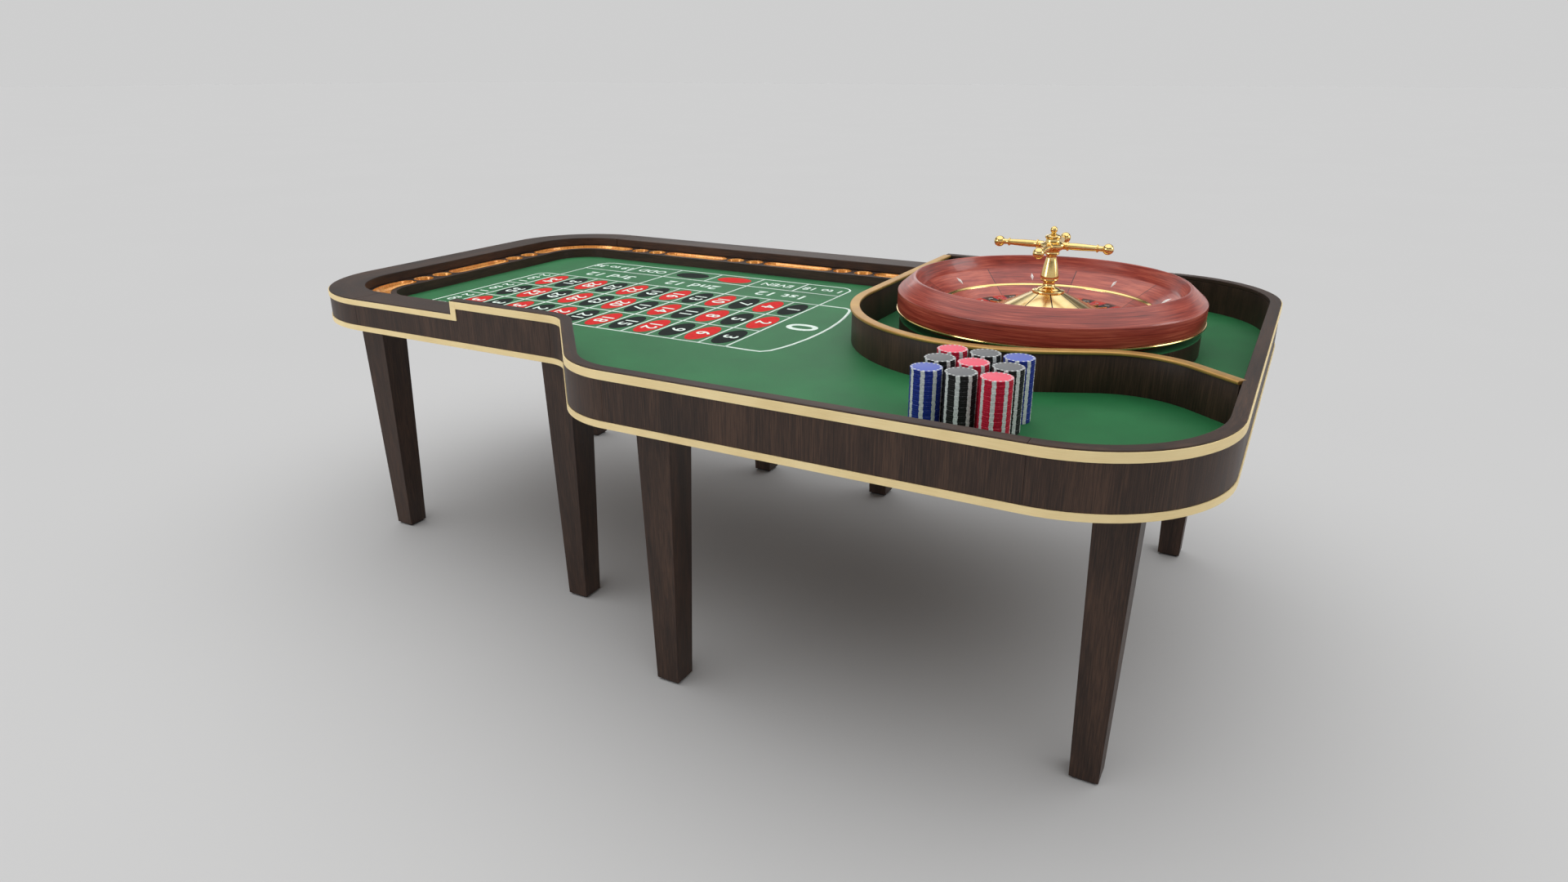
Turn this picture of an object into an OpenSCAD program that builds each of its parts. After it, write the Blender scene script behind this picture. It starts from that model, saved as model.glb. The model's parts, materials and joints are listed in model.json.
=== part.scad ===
// Casino roulette table with its wheel, wheel enclosure, chip rail and stacked chips.
// Millimetres, +Z up, origin on the floor under the centre of the plan.
// +X is the wheel end, +Y the players' side, -Y the dealer's side.

/* [Table plan] */
// Length over the trims, along X
table_l = 2764; // [2650:2:3400]
// Depth of the wheel half over the trims, along Y
table_d = 1717; // [1640:1:2100]
// Depth of the betting half, measured from the players' side
narrow_d = 1379; // [1250:1:1430]
// Radius of the four outer corners
corner_r = 325; // [280:1:380]
// Distance from the wheel end to the start of the dealer's curve
deep_l = 1687; // [1600:1:1800]
// Turning angle of the dealer's curve
curve_a = 48; // [35:1:60]
// Radius of the hollow bend of the dealer's curve
hollow_r = 89; // [60:1:120]
// Radius of the round bend of the dealer's curve
bulge_r = 215; // [170:1:240]

/* [Heights] */
// Underside of the apron
apron_z = 734; // [640:1:800]
// Playing surface
felt_z = 768; // [767:1:900]
// Shelf of the chip rail above the playing surface
shelf_h = 32; // [30:1:44]
// Armrest top above the shelf
armrest_h = 30; // [24:1:40]
// Rim top above the playing surface
rim_h = 100; // [90:1:125]

/* [Walls] */
// Thickness of the apron panels
apron_t = 18; // [14:1:24]
// Thickness of the inner lining of the high walls
lining_t = 11.5; // [8:0.5:14]
// Thickness of the rim board
rim_t = 12; // [10:1:20]
// Width of the armrest, from the outer face
armrest_w = 108; // [96:1:130]
// Width of the armrest and chip rail together
rail_w = 198; // [190:1:236]
// X of the front step, measured from the left end
step_x_left = 723; // [640:1:800]

/* [Trims] */
// Thickness of the metal trims
trim_t = 2.5; // [1.5:0.5:4]
// Height of the lower trim
trim_low_h = 16; // [10:1:20]
// Height of the trim on the high walls
trim_high_h = 20; // [14:1:24]
// Height of the trim on the armrest edge
trim_arm_h = 16; // [10:1:16]
// Distance of the upper trims below the wood above them
trim_drop = 3; // [2:0.5:5]

/* [Bed] */
// Thickness of the bed panels
bed_t = 18; // [15:1:19]
// Thickness of the cloth
cloth_t = 3; // [2:0.5:5]
// Thickness of the battens under the bed
batten_t = 12; // [8:1:12]
// Width of the battens
batten_w = 60; // [40:1:80]

/* [Chip rail recesses] */
// Width of the troughs and diameter of the cups
recess_w = 66; // [50:1:72]
// Depth of the troughs and cups
recess_dp = 24; // [18:1:28]
// Distance between the two cups of a pair
cup_pitch = 82; // [76:1:90]
// Distance between pairs of cups
pair_pitch = 441; // [380:1:460]
// Gap between a cup and the end of a trough
recess_gap = 9; // [5:1:14]
// Thickness of the recess liners
liner_t = 1.5; // [1:0.25:2.5]

/* [Legs] */
// Side of a leg where it meets the apron's underside
leg_top_w = 95; // [80:1:105]
// Side of a leg at the floor
leg_foot_w = 64; // [44:1:70]
// Height of the glide under each leg
glide_h = 6; // [4:1:12]
// Distance from the left end to the first legs
leg_in_left = 215; // [200:1:260]
// Distance from the right end to the last legs
leg_in_right = 199; // [190:1:240]
// Distance from the players' side to the back legs
leg_in_back = 188; // [150:1:240]
// Diameter of the leg bolts
bolt_d = 10; // [8:1:12]

/* [Wheel enclosure] */
// Clear gap between the bowl and the fence on the betting side
fence_side_gap = 104; // [90:1:130]
// Clear gap between the bowl and the fence on the dealer's side
fence_front_gap = 119.5; // [110:0.5:150]
// Radius of the fence's main bend
fence_r = 447; // [430:1:470]
// Thickness of the fence wall
fence_t = 16; // [10:1:19]
// Width of the fence cap
fence_cap_w = 27; // [20:1:32]
// Thickness of the fence cap
fence_cap_t = 8; // [5:1:12]

/* [Wheel] */
// Radius of the bowl
bowl_r = 407; // [390:1:430]
// Height of the bowl's bottom edge above the playing surface
bowl_lift = 78; // [70:1:90]
// Height of the bowl's outer wall
bowl_wall_h = 53; // [44:1:66]
// Rise of the bowl's sloping rim
bowl_rise = 39; // [30:1:48]
// Gap between the bowl and the back wall
bowl_back_gap = 190; // [170:1:230]
// Gap between the bowl and the right wall
bowl_right_gap = 129; // [110:1:160]
// Number of pockets
pocket_n = 37; // [36:1:38]
// Radius of the spindle
spindle_r = 8; // [6:1:10]
// Running clearance of the spindle in its bearings
spindle_gap = 0.05; // [0.02:0.01:0.09]
// Reach of the turret arms, to the ball centres
arm_reach = 145; // [100:1:150]
// Radius of the balls on the arms
arm_ball_r = 14.6; // [10:0.2:18]

/* [Chips] */
// Diameter of a chip
chip_d = 66; // [40:1:70]
// Thickness of a chip
chip_t = 4.6; // [3:0.1:5]
// Number of chips in a stack
chip_n = 30; // [10:1:30]
// Distance between stacks along X
chip_pitch_x = 73; // [71:1:80]
// Distance between stacks along Y
chip_pitch_y = 79; // [71:1:90]

/* [Hidden] */
$fn = 96;
arc_n = 16;
eps = 0.01;
big = 6000;

// plan
x_left = -table_l / 2;
x_right = table_l / 2;
y_back = table_d / 2;
y_deep = -table_d / 2;
y_narrow = y_back - narrow_d;
x_corner_l = x_left + corner_r;
x_corner_r = x_right - corner_r;
x_curve = x_right - deep_l;
curve_drop = y_narrow - y_deep;
curve_run = (curve_drop - (hollow_r + bulge_r) * (1 - cos(curve_a))) / sin(curve_a);
x_bulge = x_curve + (hollow_r + bulge_r) * sin(curve_a) + curve_run * cos(curve_a);
hollow_c = [x_curve, y_narrow - hollow_r];
bulge_c = [x_bulge, y_deep + bulge_r];
x_step_f = x_left + step_x_left;

// depths measured inwards from the outer face
d_panel = trim_t;
d_lining = d_panel + apron_t;
d_high = d_lining + lining_t;
d_recess = armrest_w + (rail_w - armrest_w) / 2 - 5;

// heights
bed_top = felt_z - cloth_t;
bed_z = bed_top - bed_t;
rim_z = felt_z + rim_h;
shelf_z = felt_z + shelf_h;
armrest_z = shelf_z + armrest_h;
arm_lip_z = armrest_z - trim_drop - trim_arm_h + 1;
high_panel_z = rim_z - rim_t;

// wheel and enclosure
wheel_x = x_right - d_high - bowl_right_gap - bowl_r;
wheel_y = y_back - d_high - bowl_back_gap - bowl_r;
// rounded, so that the pieces that meet at the step share one exact face
x_fence = round(wheel_x - bowl_r - fence_side_gap);
fence_c = [x_fence + fence_r, wheel_y - bowl_r - fence_front_gap + fence_r];
fence_rise_a = 25;
fence_fall_a = 38;
fence_run = 120;
crest_r = 190;
fence_fall = 400;
fence_in = (fence_cap_w - fence_t) / 2;
x_step_b = x_fence + fence_in;
fence_wall_z = rim_z - fence_cap_t;

// wheel turning parts
bowl_z = felt_z + bowl_lift;
bowl_wall_z = bowl_z + bowl_wall_h;
bowl_top_z = bowl_wall_z + bowl_rise;
bowl_mouth_r = bowl_r - 49;
track_r = bowl_r - 62;
track_z = bowl_z + 54;
stator_ring_r = track_r - 62;
stator_ring_w = 8;
stator_ring_t = 3;
well_r = bowl_r - 167;
well_top_z = track_z - 56;
floor_z = bowl_z - 34;
slope_dz = (track_z - well_top_z) / (track_r - well_r);
pedestal_r = bowl_r - 7;
pedestal_in_r = bowl_r - 107;
pedestal_z = bowl_z - 24;
socket_r = pedestal_in_r - 4;
rotor_r = well_r - 4;
rotor_z = floor_z + 10;
rotor_t = 14;
rotor_top = rotor_z + rotor_t;
pocket_out_r = rotor_r - 34;
cone_r = rotor_r - 68;
cone_top_r = 40;
cone_top_z = bowl_z + 55;
cone_t = 3;
hub_r = 30;
bearing_r = 16;
bearing_t = 12;
spindle_flange_r = 45;
spindle_flange_t = 5;
spindle_top = cone_top_z - 16;
hub_top = spindle_top - 4;
collar_z = cone_top_z;
arm_z = bowl_z + 181.5;
arm_root = 25;

// chip rail
row_back_y = y_back - d_recess;
row_front_y = y_narrow + d_recess;
row_left_x = x_left + d_recess;
end_gap = 16;
recess_r = recess_w / 2;
pair_half = cup_pitch / 2 + recess_r + recess_gap;
pair_room = pair_half + recess_r;
pair_x0 = x_step_b - 298;
pair_y0 = y_narrow + corner_r + 143;
pair_front_x = x_step_f - 212.5;
pairs_back = [for (i = [0 : 8]) let (x = pair_x0 - i * pair_pitch) if (x > x_corner_l + pair_room) x];
pairs_left = [for (i = [0 : 3]) let (y = pair_y0 + i * pair_pitch) if (y < y_back - corner_r - pair_room) y];
pair_back_end = pairs_back[len(pairs_back) - 1];
pair_left_end = pairs_left[len(pairs_left) - 1];

// legs: front row positions then back row positions, each standing clear of the apron
leg_xs = [x_left + leg_in_left, x_curve - 17, x_bulge + 30, x_right - leg_in_right];
leg_front_ys = [y_narrow + 182, y_narrow + 79.5, y_deep + 183.5, y_deep + 306.5];
leg_back_y = y_back - leg_in_back;
plate_t = 4;
plate_w = leg_top_w + 20;
leg_top_z = bed_z - plate_t;
leg_spots = [for (i = [0 : 3]) [leg_xs[i], leg_front_ys[i]], for (x = leg_xs) [x, leg_back_y]];
bolt_gap = 0.2;
bolt_l = 68;
bolt_head_t = 4;
glide_w = leg_foot_w - 12;
batten_in = 170;

// chips
chip_x0 = wheel_x + 45;
chip_y0 = y_deep + 309.5;
chip_groove = 0.4;
chip_h = chip_n * chip_t;

wood = [0.24, 0.18, 0.16];
mahogany = [0.55, 0.22, 0.2];
gold = [0.8, 0.7, 0.47];
polished = [0.87, 0.7, 0.35];
amber = [0.84, 0.55, 0.2];
green = [0.12, 0.42, 0.24];

// ---------- plan shapes ----------

function polar(c, r, a) = [c[0] + r * cos(a), c[1] + r * sin(a)];

// points along an arc about c, from angle a1 to a2
function arc(c, r, a1, a2) = [for (i = [0 : arc_n]) polar(c, r, a1 + (a2 - a1) * i / arc_n)];

// outline of the table, moved inwards by d; the dealer's curve is a run of short chords
module table_plan(d) {
    r = corner_r - d;
    plan_box([x_left + d, y_narrow + corner_r], [x_corner_l, y_back - corner_r]);
    plan_box([x_corner_r, y_deep + corner_r], [x_right - d, y_back - corner_r]);
    for (y = [y_narrow + corner_r, y_back - corner_r])
        translate([x_corner_l, y])
            circle(r);
    for (y = [y_deep + corner_r, y_back - corner_r])
        translate([x_corner_r, y])
            circle(r);
    polygon(concat(
        [[x_corner_l, y_back - d], [x_corner_l, y_narrow + d]],
        arc(hollow_c, hollow_r + d, 90, 90 - curve_a),
        arc(bulge_c, bulge_r - d, 270 - curve_a, 270),
        [[x_corner_r, y_deep + d], [x_corner_r, y_back - d]]
    ));
}

module plan_box(a, b) {
    translate(a)
        square(b - a);
}

module plan_ring(d1, d2) {
    difference() {
        table_plan(d1);
        table_plan(d2);
    }
}

// parts of the plan, along X and on one side of the middle
module zone(x1, x2, side = 0) {
    y1 = side > 0 ? 0 : -big;
    y2 = side < 0 ? 0 : big;
    plan_box([x1, y1], [x2, y2]);
}

// where the walls are high: the dealer's side right of the step, and the wheel end
module high_zone() {
    zone(x_step_f, big, -1);
    zone(x_step_b, big);
}

module low_zone() {
    zone(-big, x_step_f);
    zone(-big, x_step_b, 1);
}

module solid(z1, z2) {
    translate([0, 0, z1])
        linear_extrude(z2 - z1)
            children();
}

// floor of the wheel enclosure, its edge moved inwards by d
module pit_plan(d) {
    rise_a = fence_rise_a - 90;
    rise_end = polar(fence_c, fence_r, rise_a) + fence_run * [cos(fence_rise_a), sin(fence_rise_a)];
    crest_c = rise_end + crest_r * [sin(fence_rise_a), -cos(fence_rise_a)];
    fall_start = polar(crest_c, crest_r + d, 90 - fence_fall_a);
    fall_end = fall_start + fence_fall * [cos(fence_fall_a), -sin(fence_fall_a)];
    polygon(concat(
        [[x_fence + d, y_back]],
        arc(fence_c, fence_r - d, -180, rise_a / 2 - 90),
        arc(fence_c, fence_r - d, rise_a / 2 - 90, rise_a),
        arc(crest_c, crest_r + d, 90 + fence_rise_a, 90 - fence_fall_a),
        [fall_end, [fall_end[0], y_back]]
    ));
}

// ---------- bed and legs ----------

module bed_holes() {
    for (p = leg_spots)
        translate([p[0], p[1], bed_z - eps]) {
            cylinder(h = bed_t + 2 * eps, r = bolt_d / 2 + bolt_gap);
            translate([0, 0, bed_t + eps - bolt_head_t])
                cylinder(h = bolt_head_t + 1, r = bolt_d + bolt_gap);
        }
}

module bed_panel(x1, x2) {
    color("burlywood")
        difference() {
            solid(bed_z, bed_top)
                intersection() {
                    table_plan(d_lining);
                    zone(x1, x2);
                }
            bed_holes();
        }
}

// x of the three battens that lie between two legs
function batten_xs(x1, x2) = [x1 + batten_in, (x1 + x2) / 2, x2 - batten_in];

module bed_battens() {
    color("tan")
        solid(bed_z - batten_t, bed_z)
            intersection() {
                table_plan(d_lining);
                for (i = [0, 2], x = batten_xs(leg_xs[i], leg_xs[i + 1]))
                    zone(x - batten_w / 2, x + batten_w / 2);
            }
}

module leg_plates() {
    color("dimgray")
        for (p = leg_spots)
            translate([p[0], p[1], leg_top_z])
                difference() {
                    translate([-plate_w / 2, -plate_w / 2, 0])
                        cube([plate_w, plate_w, plate_t]);
                    translate([0, 0, -eps])
                        cylinder(h = plate_t + 1, r = bolt_d / 2 + bolt_gap);
                }
}

module leg_bolts() {
    color("silver")
        for (p = leg_spots)
            translate([p[0], p[1], bed_top - bolt_head_t]) {
                cylinder(h = bolt_head_t, r = bolt_d);
                translate([0, 0, -bolt_l])
                    cylinder(h = bolt_l + eps, r = bolt_d / 2);
            }
}

// one side view of a leg, extruded across the leg
module leg_side(across) {
    slope = (leg_top_w - leg_foot_w) / 2 / apron_z;
    half_foot = leg_foot_w / 2 + slope * glide_h;
    half_top = leg_foot_w / 2 + slope * leg_top_z;
    rotate([90, 0, across])
        translate([0, 0, -leg_top_w])
            linear_extrude(2 * leg_top_w)
                polygon([[-half_foot, glide_h], [half_foot, glide_h],
                         [half_top, leg_top_z], [-half_top, leg_top_z]]);
}

module leg(p) {
    translate([p[0], p[1], 0])
        difference() {
            intersection() {
                leg_side(0);
                leg_side(90);
            }
            translate([0, 0, bed_top - bolt_head_t - bolt_l - 2])
                cylinder(h = bolt_l + 2, r = bolt_d / 2 + bolt_gap);
        }
}

module legs_front() {
    color(wood)
        for (i = [0 : 3])
            leg(leg_spots[i]);
}

module legs_back() {
    color(wood)
        for (i = [4 : 7])
            leg(leg_spots[i]);
}

module leg_glides() {
    color("black")
        for (p = leg_spots)
            translate([p[0] - glide_w / 2, p[1] - glide_w / 2, 0])
                cube([glide_w, glide_w, glide_h]);
}

// ---------- walls ----------

// stretch of apron: low where the armrest covers it, high elsewhere
module apron_run(x1, x2, side) {
    color(wood)
        union() {
            solid(apron_z, arm_lip_z)
                intersection() {
                    plan_ring(d_panel, d_lining);
                    zone(x1, x2, side);
                }
            solid(arm_lip_z - eps, high_panel_z)
                intersection() {
                    plan_ring(d_panel, d_lining);
                    zone(x1, x2, side);
                    high_zone();
                }
        }
}

module apron_low_run(x1, x2, side) {
    color(wood)
        solid(apron_z, arm_lip_z)
            intersection() {
                plan_ring(d_panel, d_lining);
                zone(x1, x2, side);
            }
}

module wall_lining() {
    color(wood)
        solid(bed_top, high_panel_z)
            intersection() {
                plan_ring(d_lining, d_high);
                high_zone();
            }
}

module rim_run(x1, x2, side) {
    color(wood)
        solid(high_panel_z, rim_z)
            intersection() {
                plan_ring(d_panel, d_high);
                high_zone();
                zone(x1, x2, side);
            }
}

// ---------- armrest and chip rail ----------

module armrest_run(x1, x2, side) {
    color(wood)
        union() {
            solid(arm_lip_z, armrest_z)
                intersection() {
                    plan_ring(d_panel, armrest_w);
                    low_zone();
                    zone(x1, x2, side);
                }
            solid(shelf_z, arm_lip_z + eps)
                intersection() {
                    plan_ring(d_lining, armrest_w);
                    low_zone();
                    zone(x1, x2, side);
                }
        }
}

module cups_plan(r) {
    for (s = [-1, 1]) {
        for (x = pairs_back)
            translate([x + s * cup_pitch / 2, row_back_y])
                circle(r);
        for (y = pairs_left)
            translate([row_left_x, y + s * cup_pitch / 2])
                circle(r);
        translate([pair_front_x + s * cup_pitch / 2, row_front_y])
            circle(r);
    }
}

module slot_x(x1, x2, y, r) {
    plan_box([x1 + recess_r, y - r], [x2 - recess_r, y + r]);
    for (x = [x1 + recess_r, x2 - recess_r])
        translate([x, y])
            circle(r);
}

module slot_y(y1, y2, x, r) {
    plan_box([x - r, y1 + recess_r], [x + r, y2 - recess_r]);
    for (y = [y1 + recess_r, y2 - recess_r])
        translate([x, y])
            circle(r);
}

// trough that follows one of the left corners; flip is 1 at the back and -1 at the front
module corner_slot(corner_y, end_x, end_y, row_y, flip, r) {
    bend_r = corner_r - d_recess;
    cap_y = end_y + flip * recess_r;
    translate([x_corner_l, corner_y])
        intersection() {
            difference() {
                circle(bend_r + r);
                circle(bend_r - r);
            }
            plan_box([-big, flip > 0 ? 0 : -big], [0, flip > 0 ? big : 0]);
        }
    plan_box([row_left_x - r, min(corner_y, cap_y)], [row_left_x + r, max(corner_y, cap_y)]);
    if (end_x - recess_r > x_corner_l)
        plan_box([x_corner_l, row_y - r], [end_x - recess_r, row_y + r]);
    translate([row_left_x, cap_y])
        circle(r);
    translate([end_x - recess_r, row_y])
        circle(r);
}

module troughs_plan(r) {
    for (i = [0 : len(pairs_back) - 2])
        slot_x(pairs_back[i + 1] + pair_half, pairs_back[i] - pair_half, row_back_y, r);
    slot_x(pair_x0 + pair_half, x_step_b - end_gap, row_back_y, r);
    for (i = [0 : len(pairs_left) - 2])
        slot_y(pairs_left[i] + pair_half, pairs_left[i + 1] - pair_half, row_left_x, r);
    corner_slot(y_back - corner_r, pair_back_end - pair_half, pair_left_end + pair_half, row_back_y, 1, r);
    corner_slot(y_narrow + corner_r, pair_front_x - pair_half, pair_y0 - pair_half, row_front_y, -1, r);
    slot_x(pair_front_x + pair_half, x_step_f - end_gap, row_front_y, r);
}

module chip_rail_run(x1, x2, side) {
    color(wood)
        difference() {
            solid(bed_top, shelf_z)
                intersection() {
                    plan_ring(d_lining, rail_w);
                    low_zone();
                    zone(x1, x2, side);
                }
            solid(shelf_z - recess_dp, shelf_z + 1)
                intersection() {
                    union() {
                        troughs_plan(recess_r);
                        cups_plan(recess_r);
                    }
                    zone(x1 - 1, x2 + 1, side);
                }
        }
}

module trough_liners() {
    color(amber)
        difference() {
            solid(shelf_z - recess_dp, shelf_z)
                troughs_plan(recess_r);
            solid(shelf_z - recess_dp + liner_t, shelf_z + 1)
                troughs_plan(recess_r - liner_t);
        }
}

module cup_liners() {
    color(amber)
        difference() {
            solid(shelf_z - recess_dp, shelf_z)
                cups_plan(recess_r);
            solid(shelf_z - recess_dp + liner_t, shelf_z + 1)
                cups_plan(recess_r - liner_t);
        }
}

// ---------- trims ----------

module trim_lower() {
    color(gold)
        solid(apron_z, apron_z + trim_low_h)
            plan_ring(0, trim_t);
}

module trim_high() {
    color(gold)
        solid(rim_z - trim_drop - trim_high_h, rim_z - trim_drop)
            intersection() {
                plan_ring(0, trim_t);
                union() {
                    zone(x_step_f + trim_high_h, big, -1);
                    zone(x_step_b + trim_high_h, big);
                }
            }
}

module trim_armrest() {
    color(gold)
        solid(armrest_z - trim_drop - trim_arm_h, armrest_z - trim_drop)
            intersection() {
                plan_ring(0, trim_t);
                low_zone();
            }
}

module trim_steps() {
    color(gold)
        solid(armrest_z - trim_drop - trim_arm_h, rim_z - trim_drop)
            intersection() {
                plan_ring(0, trim_t);
                union() {
                    zone(x_step_f, x_step_f + trim_high_h, -1);
                    zone(x_step_b, x_step_b + trim_high_h, 1);
                }
            }
}

// ---------- wheel enclosure and cloths ----------

module fence_wall() {
    color(wood)
        solid(bed_top, fence_wall_z)
            intersection() {
                difference() {
                    pit_plan(fence_in);
                    pit_plan(fence_in + fence_t);
                }
                table_plan(d_high);
            }
}

module fence_cap() {
    color(gold)
        solid(fence_wall_z, rim_z)
            intersection() {
                difference() {
                    pit_plan(0);
                    pit_plan(fence_cap_w);
                }
                table_plan(d_high);
            }
}

module layout_cloth() {
    color(green)
        solid(bed_top, felt_z)
            difference() {
                union() {
                    table_plan(rail_w);
                    intersection() {
                        table_plan(d_high);
                        high_zone();
                    }
                }
                pit_plan(fence_in);
            }
}

module pit_cloth() {
    color(green)
        solid(bed_top, felt_z)
            intersection() {
                pit_plan(fence_in + fence_t);
                table_plan(d_high);
            }
}

// ---------- wheel ----------

module at_wheel() {
    translate([wheel_x, wheel_y, 0])
        children();
}

module turned(points) {
    rotate_extrude()
        polygon(points);
}

module wheel_pedestal() {
    color(wood)
        at_wheel()
            turned([[pedestal_in_r, felt_z], [pedestal_r, felt_z],
                    [pedestal_r, pedestal_z], [pedestal_in_r, pedestal_z]]);
}

module pedestal_cloth() {
    color(green)
        at_wheel()
            turned([[pedestal_in_r, pedestal_z], [pedestal_r, pedestal_z],
                    [pedestal_r, pedestal_z + cloth_t], [pedestal_in_r, pedestal_z + cloth_t]]);
}

// height of the sloping stator at radius r
function stator_z(r) = track_z - (track_r - r) * slope_dz;

module wheel_bowl() {
    ring_in = stator_ring_r - stator_ring_w / 2;
    ring_out = stator_ring_r + stator_ring_w / 2;
    under_z = pedestal_z + cloth_t;
    color(mahogany)
        at_wheel()
            turned([
                [0, felt_z + 6], [socket_r, felt_z + 6], [socket_r, under_z],
                [bowl_r - 77, under_z], [bowl_r - 12, bowl_z - 1], [bowl_r - 7, bowl_z - 1],
                [bowl_r - 7, bowl_z + 5], [bowl_r, bowl_z + 5],
                [bowl_r, bowl_wall_z], [bowl_r - 4, bowl_wall_z + 5],
                [bowl_mouth_r + 5, bowl_top_z], [bowl_mouth_r, bowl_top_z - 1],
                [track_r, track_z],
                [ring_out, stator_z(ring_out)], [ring_out, stator_z(ring_in) - stator_ring_t],
                [ring_in, stator_z(ring_in) - stator_ring_t], [ring_in, stator_z(ring_in)],
                [well_r, well_top_z], [well_r, floor_z], [0, floor_z]
            ]);
}

module bowl_lip_ring() {
    color(polished)
        at_wheel()
            turned([[bowl_r - 7, bowl_z - 1], [bowl_r + 1, bowl_z - 1], [bowl_r + 2.5, bowl_z + 2],
                    [bowl_r + 1, bowl_z + 5], [bowl_r - 7, bowl_z + 5]]);
}

module stator_ring() {
    ring_in = stator_ring_r - stator_ring_w / 2;
    ring_out = stator_ring_r + stator_ring_w / 2;
    color(polished)
        at_wheel()
            turned([[ring_in, stator_z(ring_in) - stator_ring_t], [ring_out, stator_z(ring_in) - stator_ring_t],
                    [ring_out, stator_z(ring_out)], [ring_in, stator_z(ring_in)]]);
}

module deflectors() {
    mid_r = (track_r + stator_ring_r) / 2;
    slope_a = atan(slope_dz);
    long = 17;
    wide = 4.5;
    color("white")
        at_wheel()
            difference() {
                for (i = [0 : 7])
                    rotate([0, 0, i * 45 + 22.5])
                        translate([mid_r, 0, stator_z(mid_r) - 2])
                            rotate([0, -slope_a, 0])
                                linear_extrude(7)
                                    polygon([[-long, 0], [0, -wide], [long, 0], [0, wide]]);
                turned([[well_r, floor_z], [track_r, floor_z], [track_r, track_z], [well_r, well_top_z]]);
            }
}

module wheel_spindle() {
    color("silver")
        at_wheel() {
            translate([0, 0, floor_z])
                cylinder(h = spindle_flange_t, r = spindle_flange_r);
            translate([0, 0, floor_z])
                cylinder(h = spindle_top - floor_z, r = spindle_r);
        }
}

module wheel_bearings() {
    color("gray")
        at_wheel()
            for (z = [rotor_z, hub_top - bearing_t])
                translate([0, 0, z])
                    difference() {
                        cylinder(h = bearing_t, r = bearing_r);
                        translate([0, 0, -1])
                            cylinder(h = bearing_t + 2, r = spindle_r + spindle_gap);
                    }
}

module rotor_disc() {
    color(mahogany)
        at_wheel()
            turned([[bearing_r, rotor_z], [rotor_r, rotor_z], [rotor_r, rotor_top],
                    [hub_r, rotor_top], [hub_r, hub_top], [bearing_r, hub_top]]);
}

module number_ring() {
    color("firebrick")
        at_wheel()
            turned([[pocket_out_r, rotor_top], [rotor_r, rotor_top],
                    [rotor_r, rotor_top + 7], [pocket_out_r, rotor_top + 3]]);
}

module pocket_ring() {
    color("black")
        at_wheel()
            turned([[cone_r, rotor_top], [pocket_out_r, rotor_top],
                    [pocket_out_r, rotor_top + 1.5], [cone_r, rotor_top + 1.5]]);
}

module pocket_frets() {
    fret_l = pocket_out_r - cone_r - 2;
    color(polished)
        at_wheel()
            for (i = [0 : pocket_n - 1])
                rotate([0, 0, i * 360 / pocket_n])
                    translate([cone_r + 1, -0.8, rotor_top + 1.5])
                        cube([fret_l, 1.6, 5]);
}

module rotor_cone() {
    color(polished)
        at_wheel()
            turned([[cone_r - 12, rotor_top], [cone_r, rotor_top], [cone_r, rotor_top + 3],
                    [cone_top_r, cone_top_z], [hub_r - 6, cone_top_z], [hub_r - 6, cone_top_z - cone_t],
                    [cone_top_r - 1, cone_top_z - cone_t], [cone_r - 12, rotor_top + 4]]);
}

module turret_column() {
    z = collar_z;
    color(polished)
        at_wheel()
            turned([[0, z], [42, z], [43, z + 3], [42, z + 7], [26, z + 10], [25, z + 16], [16, z + 18],
                    [15, z + 23], [17, z + 28], [24, z + 31], [24, z + 36], [13, z + 95], [17, z + 103],
                    [0, z + 103]]);
}

module turret_cross() {
    z = collar_z + 103;
    color(polished)
        at_wheel()
            union() {
                turned([[0, z], [17, z], [30, z + 10], [36, z + 18], [36, z + 30], [33, z + 33], [19, z + 34],
                        [18, z + 46], [21.5, z + 49], [21.5, z + 53], [0, z + 53]]);
                for (a = [0 : 90 : 270])
                    rotate([0, 0, a])
                        translate([0, 0, arm_z]) {
                            translate([arm_root, 0, 0])
                                rotate([0, 90, 0])
                                    cylinder(h = arm_reach - arm_root, r1 = 9, r2 = 7);
                            translate([arm_reach, 0, 0])
                                sphere(arm_ball_r);
                        }
            }
}

module turret_finial() {
    z = collar_z + 156;
    color(polished)
        at_wheel() {
            translate([0, 0, z])
                cylinder(h = 6, r = 5);
            translate([0, 0, z + 11])
                sphere(9.5);
        }
}

// ---------- chips ----------

module chip_stack(col, row, tint) {
    edge = [for (i = [0 : chip_n - 1]) each [
        [chip_d / 2 - chip_groove, i * chip_t],
        [chip_d / 2, i * chip_t + chip_groove],
        [chip_d / 2, (i + 1) * chip_t - chip_groove],
        [chip_d / 2 - chip_groove, (i + 1) * chip_t]
    ]];
    profile = [for (i = [0 : len(edge) - 1]) if (i == 0 || edge[i] != edge[i - 1]) edge[i]];
    color(tint)
        translate([chip_x0 + col * chip_pitch_x, chip_y0 + row * chip_pitch_y, felt_z])
            rotate_extrude()
                polygon(concat([[0, 0]], profile, [[0, chip_h]]));
}

// ---------- nodes ----------

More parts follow.
